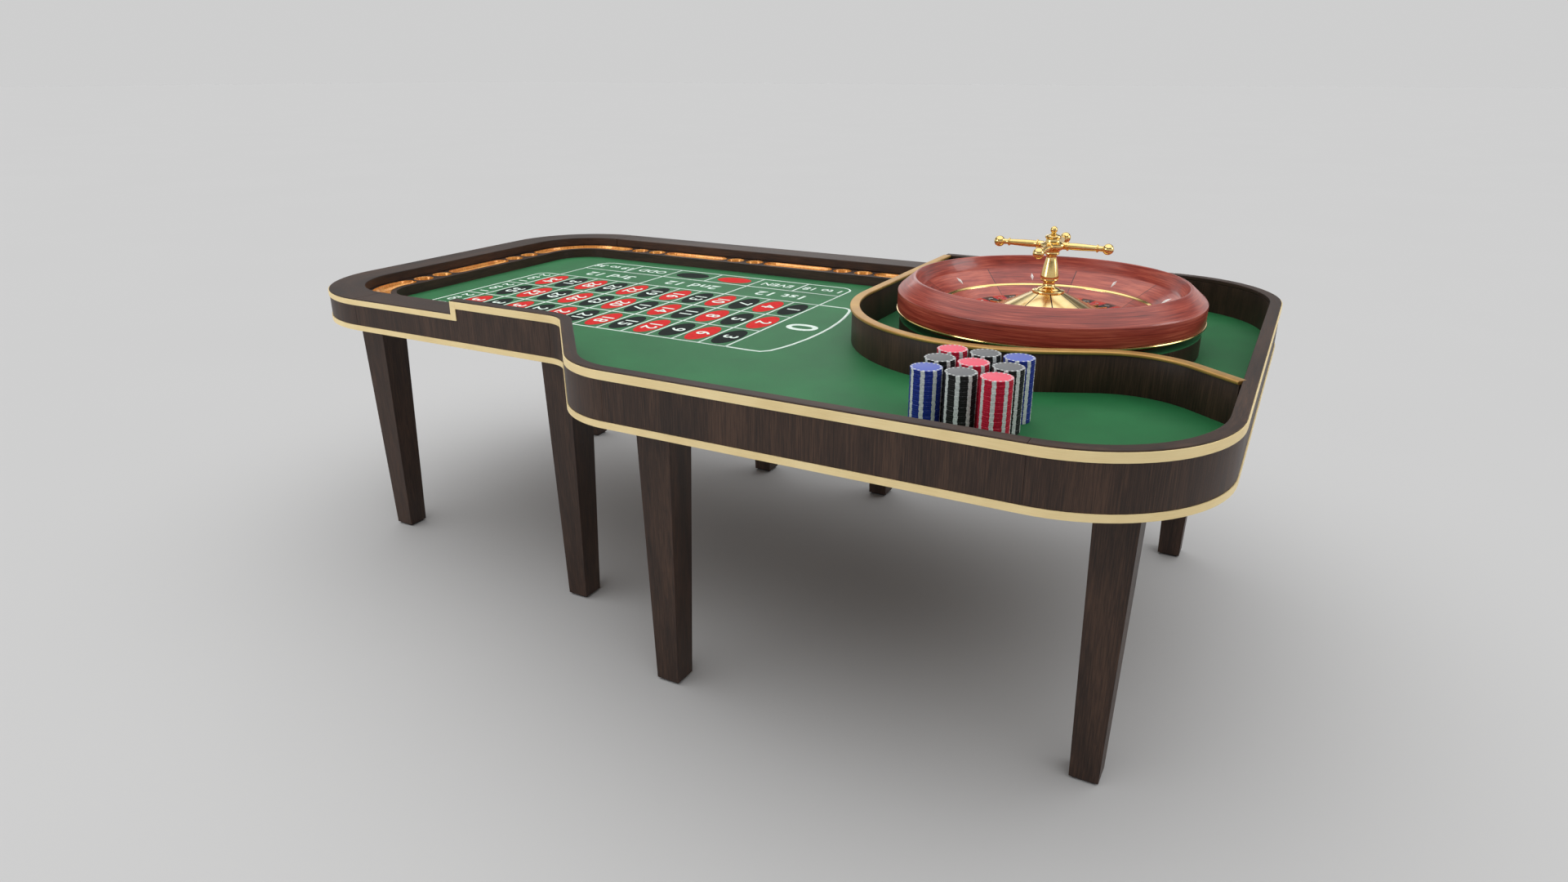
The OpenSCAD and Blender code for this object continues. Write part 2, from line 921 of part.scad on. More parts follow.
bed_panel(-big, 0);  // bed_panel_left
bed_panel(0, big);  // bed_panel_right
bed_battens();
leg_plates();
leg_bolts();
legs_front();
legs_back();
leg_glides();
apron_low_run(-big, x_corner_l, 0);  // apron_left
apron_run(x_corner_l, x_curve, -1);  // apron_front
apron_run(x_curve, x_bulge, -1);  // apron_curve
apron_run(x_bulge, x_corner_r, -1);  // apron_deep
apron_run(x_corner_r, big, 0);  // apron_right
apron_run(x_corner_l, x_corner_r, 1);  // apron_back
wall_lining();
rim_run(x_step_f, x_corner_r, -1);  // rim_front
rim_run(x_corner_r, big, 0);  // rim_right
rim_run(x_step_b, x_corner_r, 1);  // rim_back
armrest_run(-big, x_corner_l, 0);  // armrest_left
armrest_run(x_corner_l, x_step_b, 1);  // armrest_back
armrest_run(x_corner_l, x_step_f, -1);  // armrest_front
chip_rail_run(-big, x_corner_l, 0);  // chip_rail_left
chip_rail_run(x_corner_l, x_step_b, 1);  // chip_rail_back
chip_rail_run(x_corner_l, x_step_f, -1);  // chip_rail_front
trough_liners();
cup_liners();
trim_lower();
trim_high();
trim_armrest();
trim_steps();
fence_wall();
fence_cap();
layout_cloth();
pit_cloth();
wheel_pedestal();
pedestal_cloth();
wheel_bowl();
bowl_lip_ring();
stator_ring();
deflectors();
wheel_spindle();
wheel_bearings();
rotor_disc();
number_ring();
pocket_ring();
pocket_frets();
rotor_cone();
turret_column();
turret_cross();
turret_finial();
chip_stack(-1, -1, "royalblue");  // chips_front_left
chip_stack(0, -1, "black");  // chips_front_middle
chip_stack(1, -1, "crimson");  // chips_front_right
chip_stack(-1, 0, "black");  // chips_middle_left
chip_stack(0, 0, "crimson");  // chips_centre
chip_stack(1, 0, "black");  // chips_middle_right
chip_stack(-1, 1, "crimson");  // chips_back_left
chip_stack(0, 1, "black");  // chips_back_middle
chip_stack(1, 1, "royalblue");  // chips_back_right
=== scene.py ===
import json
import math
import bpy
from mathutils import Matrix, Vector


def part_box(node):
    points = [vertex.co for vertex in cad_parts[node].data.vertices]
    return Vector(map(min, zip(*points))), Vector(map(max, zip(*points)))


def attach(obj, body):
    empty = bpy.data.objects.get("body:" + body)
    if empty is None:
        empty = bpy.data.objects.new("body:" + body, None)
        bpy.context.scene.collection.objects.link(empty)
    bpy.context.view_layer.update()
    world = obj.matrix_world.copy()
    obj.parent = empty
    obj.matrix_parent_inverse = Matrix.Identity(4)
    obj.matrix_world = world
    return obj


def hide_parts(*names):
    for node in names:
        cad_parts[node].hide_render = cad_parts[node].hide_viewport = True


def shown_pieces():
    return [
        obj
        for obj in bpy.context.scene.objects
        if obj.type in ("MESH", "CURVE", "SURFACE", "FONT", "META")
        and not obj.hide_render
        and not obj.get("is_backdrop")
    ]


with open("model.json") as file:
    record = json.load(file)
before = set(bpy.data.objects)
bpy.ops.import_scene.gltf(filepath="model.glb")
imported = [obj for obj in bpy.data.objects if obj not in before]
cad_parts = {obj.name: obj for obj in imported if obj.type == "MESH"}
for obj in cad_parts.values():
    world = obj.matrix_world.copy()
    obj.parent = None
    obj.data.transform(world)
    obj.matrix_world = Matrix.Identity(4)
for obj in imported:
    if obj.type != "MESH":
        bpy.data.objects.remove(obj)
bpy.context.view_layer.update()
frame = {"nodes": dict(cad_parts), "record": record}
print("frame loaded")


# handling of objects: each call leaves object mode with only its own objects selected
def objectMode():
    if bpy.context.object and bpy.context.object.mode != "OBJECT":
        bpy.ops.object.mode_set(mode="OBJECT")


def pick(*objs):
    objectMode()
    bpy.ops.object.select_all(action="DESELECT")
    for o in objs:
        o.select_set(True)
    bpy.context.view_layer.objects.active = objs[0]
    return objs[0]


def edit(obj, kind="VERT"):
    pick(obj)
    bpy.ops.object.mode_set(mode="EDIT")
    bpy.ops.mesh.select_mode(type=kind)
    return obj


def selectAll():
    bpy.ops.mesh.select_all(action="SELECT")


def named(obj, name):
    obj.name = name
    obj.data.name = name
    return obj


def settle(obj):
    pick(obj)
    bpy.ops.object.transform_apply(location=True, rotation=True, scale=True)
    return obj


# turned and moved, then applied, so the object itself stays at the origin
def laid(obj, at=(0, 0, 0), turn=(0, 0, 0)):
    obj.rotation_euler = turn
    obj.location = at
    return settle(obj)


def join(objs, name):
    pick(*objs)
    if len(objs) > 1:
        bpy.ops.object.join()
    return named(bpy.context.object, name)


def twin(obj, name):
    copy = bpy.data.objects.new(name, obj.data.copy())
    copy.data.name = name
    bpy.context.scene.collection.objects.link(copy)
    return copy


def turnCopy(obj, name, degrees, centre):
    copy = edit(twin(obj, name))
    selectAll()
    bpy.ops.transform.rotate(value=math.radians(-degrees), orient_axis="Z", center_override=centre)
    objectMode()
    return copy


def moveCopy(obj, name, shift):
    copy = edit(twin(obj, name))
    selectAll()
    bpy.ops.transform.translate(value=shift)
    objectMode()
    return copy


# copies of a finished shape evenly round the upright line through centre, joined; the first shape goes
def ringOf(obj, name, count, centre, first=0):
    copies = [turnCopy(obj, f"{name}{i}", first + i * 360 / count, centre) for i in range(count)]
    bpy.data.objects.remove(obj)
    return join(copies, name)


def bevelled(obj, width, segments=2, angle=30):
    pick(obj)
    bevel = obj.modifiers.new("edges", "BEVEL")
    bevel.width = width
    bevel.segments = segments
    bevel.limit_method = "ANGLE"
    bevel.angle_limit = math.radians(angle)
    bevel.miter_outer = "MITER_ARC"
    bevel.use_clamp_overlap = True
    bpy.ops.object.modifier_apply(modifier="edges")
    return obj


def smooth(obj, angle=30):
    pick(obj)
    bpy.ops.object.shade_smooth_by_angle(angle=math.radians(angle))
    return obj


# keeps broad faces flat between softened edges
def levelled(obj):
    pick(obj)
    even = obj.modifiers.new("flats", "WEIGHTED_NORMAL")
    even.keep_sharp = True
    even.weight = 80
    bpy.ops.object.modifier_apply(modifier="flats")
    return obj


def faceOut(obj):
    edit(obj)
    selectAll()
    bpy.ops.mesh.remove_doubles(threshold=0.000005)
    selectAll()
    bpy.ops.mesh.normals_make_consistent(inside=False)
    objectMode()
    return obj


def paint(obj, *finishes):
    obj.data.materials.clear()
    for finish in finishes:
        obj.data.materials.append(finish)
    return obj


slotOf = {row["node"]: row["material_slot"] for row in frame["record"]["subparts"]}


# a piece's name, from its CAD node's
def plain(cadName):
    words = cadName.split("_")
    return words[0] + "".join(word.title() for word in words[1:])


# the piece rides on its body and stands for its CAD node, which is hidden
def place(obj, body, cadName):
    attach(obj, body)
    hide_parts(cadName)
    return obj


# a copy of a CAD node with merged faces and softened edges
def softened(cadName, width, segments=2):
    piece = edit(twin(frame["nodes"][cadName], plain(cadName)))
    selectAll()
    bpy.ops.mesh.remove_doubles(threshold=0.00002)
    selectAll()
    bpy.ops.mesh.dissolve_limited(angle_limit=math.radians(0.5))
    objectMode()
    if width:
        bevelled(piece, width, segments)
    return levelled(smooth(piece))


# a closed profile of (r, z) corners turned about the upright line through centre
def turned(name, profile, centre, steps):
    r0, z0 = profile[0]
    bpy.ops.mesh.primitive_plane_add(size=0.01, location=(0, 0, 0))
    piece = edit(named(bpy.context.object, name))
    selectAll()
    bpy.ops.mesh.merge(type="CENTER")
    bpy.ops.transform.translate(value=(centre[0] + r0, centre[1], z0))
    last = (r0, z0)
    for r, z in profile[1:] + [profile[0]]:
        bpy.ops.mesh.extrude_vertices_move(TRANSFORM_OT_translate={"value": (r - last[0], 0, z - last[1])})
        last = (r, z)
    selectAll()
    bpy.ops.mesh.spin(steps=steps, angle=math.tau, center=(centre[0], centre[1], 0), axis=(0, 0, 1))
    objectMode()
    piece.location = (0, 0, 0)
    return faceOut(piece)


# a turned piece of the wheel, from profile to place
def turnedPiece(body, cadName, profile, steps, finish, angle=35):
    piece = smooth(turned(plain(cadName), profile, hub, steps), angle)
    return place(paint(piece, finish), body, cadName)


# outline of the table in plan, for the run of the grain
tablePlan = {
    "back": 0.8585, "deep": -0.8585, "narrow": -0.5205, "corner": 0.325, "cornerX": 1.057,
    "hollow": (-0.305, -0.6095, 0.089), "bulge": (0.1348, -0.6435, 0.215), "curve": 48,
    "stepFront": -0.649, "stepBack": 0.3185,
}


def arcPoints(cx, cy, r, start, end, steps):
    turn = [math.radians(start + (end - start) * i / steps) for i in range(steps + 1)]
    return [(cx + r * math.cos(a), cy + r * math.sin(a)) for a in turn]


# clockwise from the front step: narrow front, players' end, back, wheel end, dealer's front
def outline(plan, steps=24):
    r, cx = plan["corner"], plan["cornerX"]
    hx, hy, hr = plan["hollow"]
    bx, by, br = plan["bulge"]
    points = [(plan["stepFront"], plan["narrow"])]
    points += arcPoints(-cx, plan["narrow"] + r, r, 270, 180, steps)
    points += arcPoints(-cx, plan["back"] - r, r, 180, 90, steps)
    points += [(plan["stepBack"], plan["back"])]
    points += arcPoints(cx, plan["back"] - r, r, 90, 0, steps)
    points += arcPoints(cx, plan["deep"] + r, r, 0, -90, steps)
    points += arcPoints(bx, by, br, 270, 270 - plan["curve"], steps)
    points += arcPoints(hx, hy, hr, 90 - plan["curve"], 90, steps)
    points += [(plan["stepFront"], plan["narrow"])]
    return points


# gives a piece a map, named run, whose U goes along the path and V goes inwards and up
def mapAlong(obj, path):
    a = [Vector(p) for p in path[:-1]]
    b = [Vector(p) for p in path[1:]]
    length = [(q - p).length for p, q in zip(a, b)]
    start = [sum(length[:i]) for i in range(len(length))]
    total = sum(length)
    uv = []
    for vertex in obj.data.vertices:
        p = vertex.co.xy
        best = None
        for i, (p0, p1) in enumerate(zip(a, b)):
            if length[i] < 1e-6:
                continue
            along = min(max((p - p0).dot(p1 - p0) / length[i] ** 2, 0), 1)
            off = (p - p0.lerp(p1, along)).length
            if best is None or off < best[0] - 1e-7:
                best = (off, start[i] + along * length[i])
        uv.append((best[1], best[0] + vertex.co.z))
    layer = obj.data.uv_layers.new(name="run")
    for face in obj.data.polygons:
        first = uv[obj.data.loops[face.loop_start].vertex_index][0]
        for i in face.loop_indices:
            u, v = uv[obj.data.loops[i].vertex_index]
            if u - first > total / 2:
                u -= total
            if first - u > total / 2:
                u += total
            layer.data[i].uv = (u, v)
    return obj


# one output of a finish's node tree, with maths on it
class Wire:
    def __init__(self, finish, socket):
        self.finish = finish
        self.socket = socket

    def maths(self, operation, other=None, swapped=False):
        pair = [self] if other is None else [self, other]
        if swapped:
            pair.reverse()
        return self.finish.add("Math", {"operation": operation}, dict(enumerate(pair)))

    def __add__(self, other): return self.maths("ADD", other)
    def __radd__(self, other): return self.maths("ADD", other)
    def __sub__(self, other): return self.maths("SUBTRACT", other)
    def __rsub__(self, other): return self.maths("SUBTRACT", other, True)
    def __mul__(self, other): return self.maths("MULTIPLY", other)
    def __rmul__(self, other): return self.maths("MULTIPLY", other)
    def __truediv__(self, other): return self.maths("DIVIDE", other)
    def __pow__(self, other): return self.maths("POWER", other)
    def __gt__(self, other): return self.maths("GREATER_THAN", other)
    def __lt__(self, other): return self.maths("LESS_THAN", other)
    def __mod__(self, other): return self.maths("FLOORED_MODULO", other)
    def __abs__(self): return self.maths("ABSOLUTE")


def srgb(r, g, b):
    curve = [(c / 255 / 12.92) if c <= 10 else ((c / 255 + 0.055) / 1.055) ** 2.4 for c in (r, g, b)]
    return (*curve, 1)


class Finish:
    def __init__(self, name, **fixed):
        self.material = bpy.data.materials.new(name)
        self.material.use_nodes = True
        self.tree = self.material.node_tree
        self.shader = self.tree.nodes["Principled BSDF"]
        for socket, value in fixed.items():
            self.shader.inputs[socket.replace("_", " ")].default_value = value

    def add(self, kind, settings, sockets, out=0):
        node = self.tree.nodes.new("ShaderNode" + kind)
        for key, value in settings.items():
            if key == "stops":
                ramp = node.color_ramp
                while len(ramp.elements) < len(value):
                    ramp.elements.new(0.5)
                for element, (position, colour) in zip(ramp.elements, value):
                    element.position = position
                    element.color = colour
            else:
                setattr(node, key, value)
        for key, value in sockets.items():
            self.feed(node.inputs[key], value)
        return Wire(self, node.outputs[out])

    def feed(self, socket, value):
        if isinstance(value, Wire):
            self.tree.links.new(value.socket, socket)
        else:
            socket.default_value = value

    def feeds(self, **wires):
        for name, value in wires.items():
            self.feed(self.shader.inputs[name.replace("_", " ")], value)

    def place(self):
        return self.add("TexCoord", {}, {}, "Object")

    def uv(self, name):
        return self.add("UVMap", {"uv_map": name}, {})

    def stretched(self, vector, scale, shift=(0, 0, 0)):
        return self.add("Mapping", {}, {"Vector": vector, "Scale": scale, "Location": shift})

    def noise(self, vector, scale, detail=3, rough=0.5, warp=0):
        sockets = {"Vector": vector, "Scale": scale, "Detail": detail, "Roughness": rough, "Distortion": warp}
        return self.add("TexNoise", {}, sockets)

    def ramp(self, factor, *stops):
        return self.add("ValToRGB", {"stops": stops}, {"Fac": factor})

    def levels(self, factor, low, high):
        return self.add("MapRange", {"clamp": True}, {"Value": factor, "From Min": low, "From Max": high})

    def mix(self, factor, a, b):
        return self.add("Mix", {"data_type": "RGBA"}, {0: factor, 6: a, 7: b}, 2)

    def bump(self, height, distance, strength=1.0):
        normal = self.add("Bump", {}, {"Height": height, "Distance": distance, "Strength": strength})
        self.feed(self.shader.inputs["Normal"], normal)
        return normal


# stained timber; upright grain reads the place, run grain reads the map along the board
def timber(name, look, upright=False):
    f = Finish(name, Coat_Weight=look["coat"], Coat_Roughness=look["coatRough"], Specular_IOR_Level=look["specular"])
    if upright:
        base = f.place()
        fine = (look["fine"], look["fine"], look["along"])
        broad = (look["broad"], look["broad"], look["broad"] * 0.12)
    else:
        base = f.uv("run")
        fine, broad = (look["along"], look["fine"], 1), (look["broad"] * 0.12, look["broad"], 1)
    streak = f.noise(f.stretched(base, fine), 1, 4, 0.62, 0.15)
    figure = f.noise(f.stretched(base, broad), 1, 3, 0.55, 0.9)
    pore = f.noise(f.stretched(base, tuple(v * 1.9 for v in fine), (3.1, 1.7, 0.4)), 1, 2, 0.5)
    tone = streak * look["streaky"] + figure * (1 - look["streaky"])
    colour = f.ramp(tone, *look["stops"])
    pores = f.levels(pore, 0.60, 0.74)
    colour = f.mix(pores * look["pores"], colour, look["pore"])
    f.feeds(Base_Color=colour, Roughness=f.levels(streak, 0.2, 0.8) * look["roughSpan"] + look["rough"])
    f.bump(streak * 0.7 - pores * 0.6, look["depth"])
    return f.material


darkWoodLook = {
    "stops": [(0.36, srgb(34, 22, 16)), (0.5, srgb(54, 37, 28)), (0.64, srgb(76, 54, 41))],
    "pore": srgb(24, 16, 12), "pores": 0.6, "streaky": 0.62,
    "fine": 420, "along": 14, "broad": 16, "rough": 0.42, "roughSpan": 0.14,
    "coat": 0.04, "coatRough": 0.3, "specular": 0.34, "depth": 0.00020,
}
darkWoodRun = timber("dark wood along the board", darkWoodLook)
darkWoodUp = timber("dark wood upright", darkWoodLook, upright=True)

mahoganyLook = {
    "stops": [(0.34, srgb(104, 30, 23)), (0.5, srgb(160, 62, 47)), (0.66, srgb(202, 102, 78))],
    "pore": srgb(78, 22, 20), "pores": 0.4, "streaky": 0.58,
    "fine": 300, "along": 7, "broad": 26, "rough": 0.30, "roughSpan": 0.08,
    "coat": 0.35, "coatRough": 0.12, "specular": 0.5, "depth": 0.00008,
}


trimGoldLook = {
    "stops": [(0.3, srgb(228, 202, 144)), (0.5, srgb(242, 218, 162)), (0.7, srgb(250, 230, 178))],
    "rough": 0.40, "span": 0.12, "depth": 0.00005,
}


# brushed or cast metal; marks run along the board's map, or go by place
def metal(name, look, run=False, fine=(500, 500, 500), metallic=1.0):
    f = Finish(name, Metallic=metallic)
    base = f.uv("run") if run else f.place()
    scale = (18, 900, 1) if run else fine
    marks = f.noise(f.stretched(base, scale), 1, 3, 0.6)
    cloud = f.noise(f.stretched(base, (6, 6, 6), (0.3, 0.2, 0.1)), 1, 3, 0.6)
    f.feeds(Base_Color=f.ramp(marks * 0.45 + cloud * 0.55, *look["stops"]),
            Roughness=f.levels(marks * 0.5 + cloud * 0.5, 0.25, 0.75) * look["span"] + look["rough"])
    f.bump(marks, look["depth"])
    return f.material


trimGold = metal("satin gold trim", trimGoldLook, run=True, metallic=0.12)
capGold = metal("gold fence cap", {
    "stops": [(0.3, srgb(176, 132, 66)), (0.5, srgb(196, 152, 84)), (0.7, srgb(214, 174, 104))],
    "rough": 0.34, "span": 0.10, "depth": 0.00003}, run=True, metallic=0.6)
brass = metal("polished brass", {
    "stops": [(0.3, srgb(228, 190, 112)), (0.5, srgb(244, 212, 140)), (0.7, srgb(252, 228, 166))],
    "rough": 0.09, "span": 0.08, "depth": 0.00001}, fine=(260, 260, 700))
steel = metal("plated steel", {
    "stops": [(0.3, srgb(120, 122, 125)), (0.5, srgb(150, 152, 155)), (0.7, srgb(180, 182, 184))],
    "rough": 0.32, "span": 0.15, "depth": 0.00005})
bearingSteel = metal("bearing steel", {
    "stops": [(0.3, srgb(150, 152, 156)), (0.5, srgb(176, 178, 182)), (0.7, srgb(200, 202, 205))],
    "rough": 0.18, "span": 0.10, "depth": 0.00002}, fine=(120, 120, 900))


# woollen cloth; short fibres in the bump, wide faint mottling in the colour
def woollen(name, dark, mid, light):
    f = Finish(name, Sheen_Weight=0.12, Sheen_Roughness=0.4, Specular_IOR_Level=0.4)
    f.shader.inputs["Sheen Tint"].default_value = srgb(190, 225, 200)
    base = f.place()
    fibre = f.noise(f.stretched(base, (1500, 900, 1200)), 1, 3, 0.7)
    tuft = f.noise(base, 340, 3, 0.6)
    mottle = f.noise(base, 5, 4, 0.6)
    tone = fibre * 0.3 + tuft * 0.3 + mottle * 0.4
    f.feeds(Base_Color=f.ramp(tone, (0.32, dark), (0.5, mid), (0.68, light)),
            Roughness=f.levels(tuft, 0.2, 0.8) * 0.12 + 0.50)
    f.bump(fibre * 0.6 + tuft * 0.4, 0.0006, 0.7)
    return f.material


felt = woollen("green baize", srgb(13, 88, 46), srgb(21, 107, 56), srgb(33, 125, 68))


# plies show as bands on the edges; the faces carry a broad figure
def plyFinish():
    f = Finish("stained plywood", Specular_IOR_Level=0.4)
    base = f.place()
    bands = f.add("TexWave", {"bands_direction": "Z"},
                  {"Vector": base, "Scale": 62.0, "Distortion": 0.6, "Detail": 2.0, "Detail Scale": 1.5})
    figure = f.noise(f.stretched(base, (2.2, 46, 40)), 1, 4, 0.6, 0.8)
    tone = bands * 0.25 + figure * 0.75
    f.feeds(Base_Color=f.ramp(tone, (0.25, srgb(74, 56, 42)), (0.5, srgb(96, 76, 58)), (0.75, srgb(118, 96, 76))),
            Roughness=figure * 0.15 + 0.55)
    f.bump(figure, 0.0004, 0.6)
    return f.material


plywood = plyFinish()


def rubberFinish():
    f = Finish("glide rubber", Specular_IOR_Level=0.4)
    grain = f.noise(f.place(), 900, 3, 0.6)
    scuff = f.noise(f.place(), 90, 4, 0.6)
    f.feeds(Base_Color=f.ramp(scuff, (0.35, srgb(24, 24, 25)), (0.6, srgb(40, 40, 41)), (0.8, srgb(66, 65, 63))),
            Roughness=scuff * 0.2 + 0.62)
    f.bump(grain, 0.0003, 0.6)
    return f.material


rubber = rubberFinish()

path = outline(tablePlan)

# edge radius, finish, whether the grain follows the board, and the CAD nodes done so
softPieces = [
    (0.010, darkWoodUp, False, "legs_front legs_back"),
    (0.0010, darkWoodUp, False, "apron_left apron_front apron_curve apron_deep apron_right apron_back"),
    (0.0008, darkWoodUp, False, "wall_lining"),
    (0.0022, darkWoodRun, True, "rim_front rim_right rim_back"),
    (0.0030, darkWoodRun, True, "armrest_left armrest_back armrest_front"),
    (0.0016, darkWoodRun, True, "chip_rail_left chip_rail_back chip_rail_front"),
    (0.0006, trimGold, True, "trim_lower trim_high trim_armrest trim_steps"),
    (0.0006, plywood, False, "bed_panel_left bed_panel_right"),
    (0.0020, plywood, False, "bed_battens"),
    (0.0008, steel, False, "leg_plates"),
    (0.0006, steel, False, "leg_bolts"),
    (0.0015, rubber, False, "leg_glides"),
    (0.0010, darkWoodUp, False, "wheel_pedestal"),
    (0.0008, felt, False, "pedestal_cloth"),
    (0.0005, steel, False, "wheel_spindle"),
]
for edge, finish, follows, cadNames in softPieces:
    for cadName in cadNames.split():
        piece = softened(cadName, edge, 4 if edge > 0.005 else 2)
        if follows:
            mapAlong(piece, path)
        place(paint(piece, finish), "table", cadName)
print("boards, legs and trims done")

# the wheel's bowl, rings and deflectors stay still, the rest turns on the spindle
low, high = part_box("wheel_bowl")
hub = ((low.x + high.x) / 2, (low.y + high.y) / 2)
print("wheel centre", round(hub[0], 4), round(hub[1], 4))

mahogany = timber("polished mahogany", mahoganyLook)


# mahogany of the ball track, with fine dark joints between its veneer panels
def trackFinish(look):
    f = Finish("panelled mahogany", Coat_Weight=look["coat"], Coat_Roughness=look["coatRough"],
               Specular_IOR_Level=look["specular"])
    base = f.uv("run")
    streak = f.noise(f.stretched(base, (look["along"], look["fine"], 1)), 1, 4, 0.62, 0.15)
    figure = f.noise(f.stretched(base, (3, look["broad"], 1)), 1, 3, 0.55, 0.9)
    tone = streak * look["streaky"] + figure * (1 - look["streaky"])
    u = f.add("SeparateXYZ", {}, {"Vector": base})
    panel = u * (wheelLook["panels"] / (math.tau * wheelLook["runR"]))
    joint = abs((panel + 0.5) % 1.0 - 0.5) < wheelLook["jointHalf"]
    even = ((panel + 100.0) % 2.0 > 1.0) * 0.05   # every other panel a shade lighter
    colour = f.ramp(tone + even, *look["stops"])
    f.feeds(Base_Color=f.mix(joint, colour, srgb(48, 14, 12)), Roughness=streak * 0.1 + look["rough"])
    f.bump(streak * 0.3 - joint * 1.0, 0.0002)
    return f.material


wheelLook = {
    "runR": 0.407, "steps": 160, "panels": 8, "jointHalf": 0.0045, "mouthR": 0.3445, "wellTop": 0.832,
    "bowl": [(0.240, 0.838), (0.240, 0.8135), (0.292, 0.8135), (0.296, 0.7745), (0.318, 0.7745), (0.330, 0.790),
             (0.372, 0.8335), (0.397, 0.8452), (0.4000, 0.8458), (0.4000, 0.8515), (0.407, 0.8518), (0.407, 0.8990),
             (0.4030, 0.9045), (0.3660, 0.9365), (0.3615, 0.9378), (0.3585, 0.9365), (0.3555, 0.9250),
             (0.3470, 0.9030), (0.3440, 0.8985), (0.2879, 0.8662), (0.2879, 0.8635), (0.2791, 0.8591),
             (0.2791, 0.8618)],
    "lip": [(0.4002, 0.8451), (0.4060, 0.8451), (0.4087, 0.8462), (0.4095, 0.8482), (0.4087, 0.8502),
            (0.4068, 0.8511), (0.4002, 0.8511)],
    "stator": [(0.2794, 0.8596), (0.2876, 0.8638), (0.2876, 0.8668), (0.2866, 0.8670), (0.2835, 0.8656),
               (0.2804, 0.8634), (0.2794, 0.8622)],
}


def roundMap(piece):
    return mapAlong(piece, arcPoints(*hub, wheelLook["runR"], 0, 360, 120))


bowl = bevelled(turned("wheelBowl", wheelLook["bowl"], hub, wheelLook["steps"]), 0.0016, 3, 24)
paint(roundMap(smooth(bowl, 40)), mahogany, trackFinish(mahoganyLook))
for face in bowl.data.polygons:   # the ball track and the slope inside it are panelled
    inside = (face.center.xy - Vector(hub)).length < wheelLook["mouthR"]
    face.material_index = 1 if inside and face.center.z > wheelLook["wellTop"] else 0
place(bowl, "table", "wheel_bowl")

turnedPiece("table", "bowl_lip_ring", wheelLook["lip"], wheelLook["steps"], brass, angle=40)
turnedPiece("table", "stator_ring", wheelLook["stator"], wheelLook["steps"], brass, angle=40)


# ball deflectors: long pearl lozenges with a raised ridge
deflectorLook = {
    "count": 8, "first": 22.5, "r": 0.314, "size": (0.040, 0.0115, 0.0055), "sunk": 0.0012,
    "trackFoot": (0.240, 0.838), "trackTop": (0.344, 0.8985),
}


def pearlFinish():
    f = Finish("pearl", Coat_Weight=0.6, Coat_Roughness=0.08, Specular_IOR_Level=0.6)
    sheen = f.noise(f.place(), 160, 4, 0.6, 1.2)
    fine = f.noise(f.place(), 700, 2, 0.5)
    colour = f.ramp(sheen, (0.35, srgb(232, 228, 224)), (0.5, srgb(248, 246, 242)), (0.65, srgb(252, 252, 252)))
    f.feeds(Base_Color=colour, Roughness=fine * 0.1 + 0.16)
    f.bump(sheen, 0.0001, 0.5)
    return f.material


def makeDeflectors(look):
    (footR, footZ), (topR, topZ) = look["trackFoot"], look["trackTop"]
    slope = math.atan2(topZ - footZ, topR - footR)
    z = footZ + (look["r"] - footR) * math.tan(slope)
    bpy.ops.mesh.primitive_cone_add(vertices=4, radius1=0.5, radius2=0.16, depth=1, location=(0, 0, 0.5))
    first = edit(named(bpy.context.object, "deflector"))
    selectAll()
    bpy.ops.transform.resize(value=look["size"], center_override=(0, 0, 0))
    selectAll()
    bpy.ops.transform.translate(value=(0, 0, -look["sunk"]))
    objectMode()
    bevelled(settle(first), 0.0006, 2, 20)
    laid(first, (look["r"], 0, z), (0, -slope, 0))
    laid(first, (*hub, 0))
    ring = smooth(ringOf(first, "ballDeflectors", look["count"], (*hub, 0), look["first"]), 35)
    return place(paint(ring, pearlFinish()), "table", "deflectors")


makeDeflectors(deflectorLook)
print("bowl and stator done")


rotorLook = {
    "steps": 148, "pockets": 37,
    "digitSize": 0.0185, "digitR": 0.2188, "digitZ": 0.8412, "digitLean": -0.115,
    "fretR": 0.185, "fretZ": 0.84025, "fretSize": (0.0325, 0.0016, 0.0056),
    "disc": [(0.0163, 0.8225), (0.2345, 0.8225), (0.2358, 0.8240), (0.2358, 0.8345), (0.2345, 0.8358),
             (0.0310, 0.8358), (0.0300, 0.8370), (0.0300, 0.8795), (0.0288, 0.8808), (0.0163, 0.8808)],
    "numbers": [(0.2020, 0.8361), (0.2352, 0.8361), (0.2358, 0.8368), (0.2358, 0.8420), (0.2350, 0.8428),
                (0.2335, 0.8427), (0.2035, 0.8392), (0.2020, 0.8385)],
    "pocket": [(0.1685, 0.8362), (0.2017, 0.8362), (0.2017, 0.8374), (0.1995, 0.8376), (0.1700, 0.8376),
               (0.1685, 0.8374)],
    "cone": [(0.1682, 0.8380), (0.1665, 0.8372), (0.0395, 0.8975), (0.0395, 0.9005), (0.0420, 0.9012),
             (0.1680, 0.8412), (0.1690, 0.8396)],
    "order": [0, 32, 15, 19, 4, 21, 2, 25, 17, 34, 6, 27, 13, 36, 11, 30, 8, 23, 10,
              5, 24, 16, 33, 1, 20, 14, 31, 9, 22, 18, 29, 7, 28, 12, 35, 3, 26],
}


# enamel over metal, slightly clouded; printed ink has no gloss coat
def enamel(name, dark, light, rough=0.22, coat=0.4, specular=0.5):
    f = Finish(name, Coat_Weight=coat, Coat_Roughness=0.1, Specular_IOR_Level=specular)
    cloud = f.noise(f.place(), 110, 4, 0.6)
    speck = f.noise(f.place(), 900, 2, 0.5)
    f.feeds(Base_Color=f.ramp(cloud, (0.35, dark), (0.65, light)), Roughness=speck * 0.12 + rough)
    f.bump(cloud, 0.00006, 0.6)
    return f.material


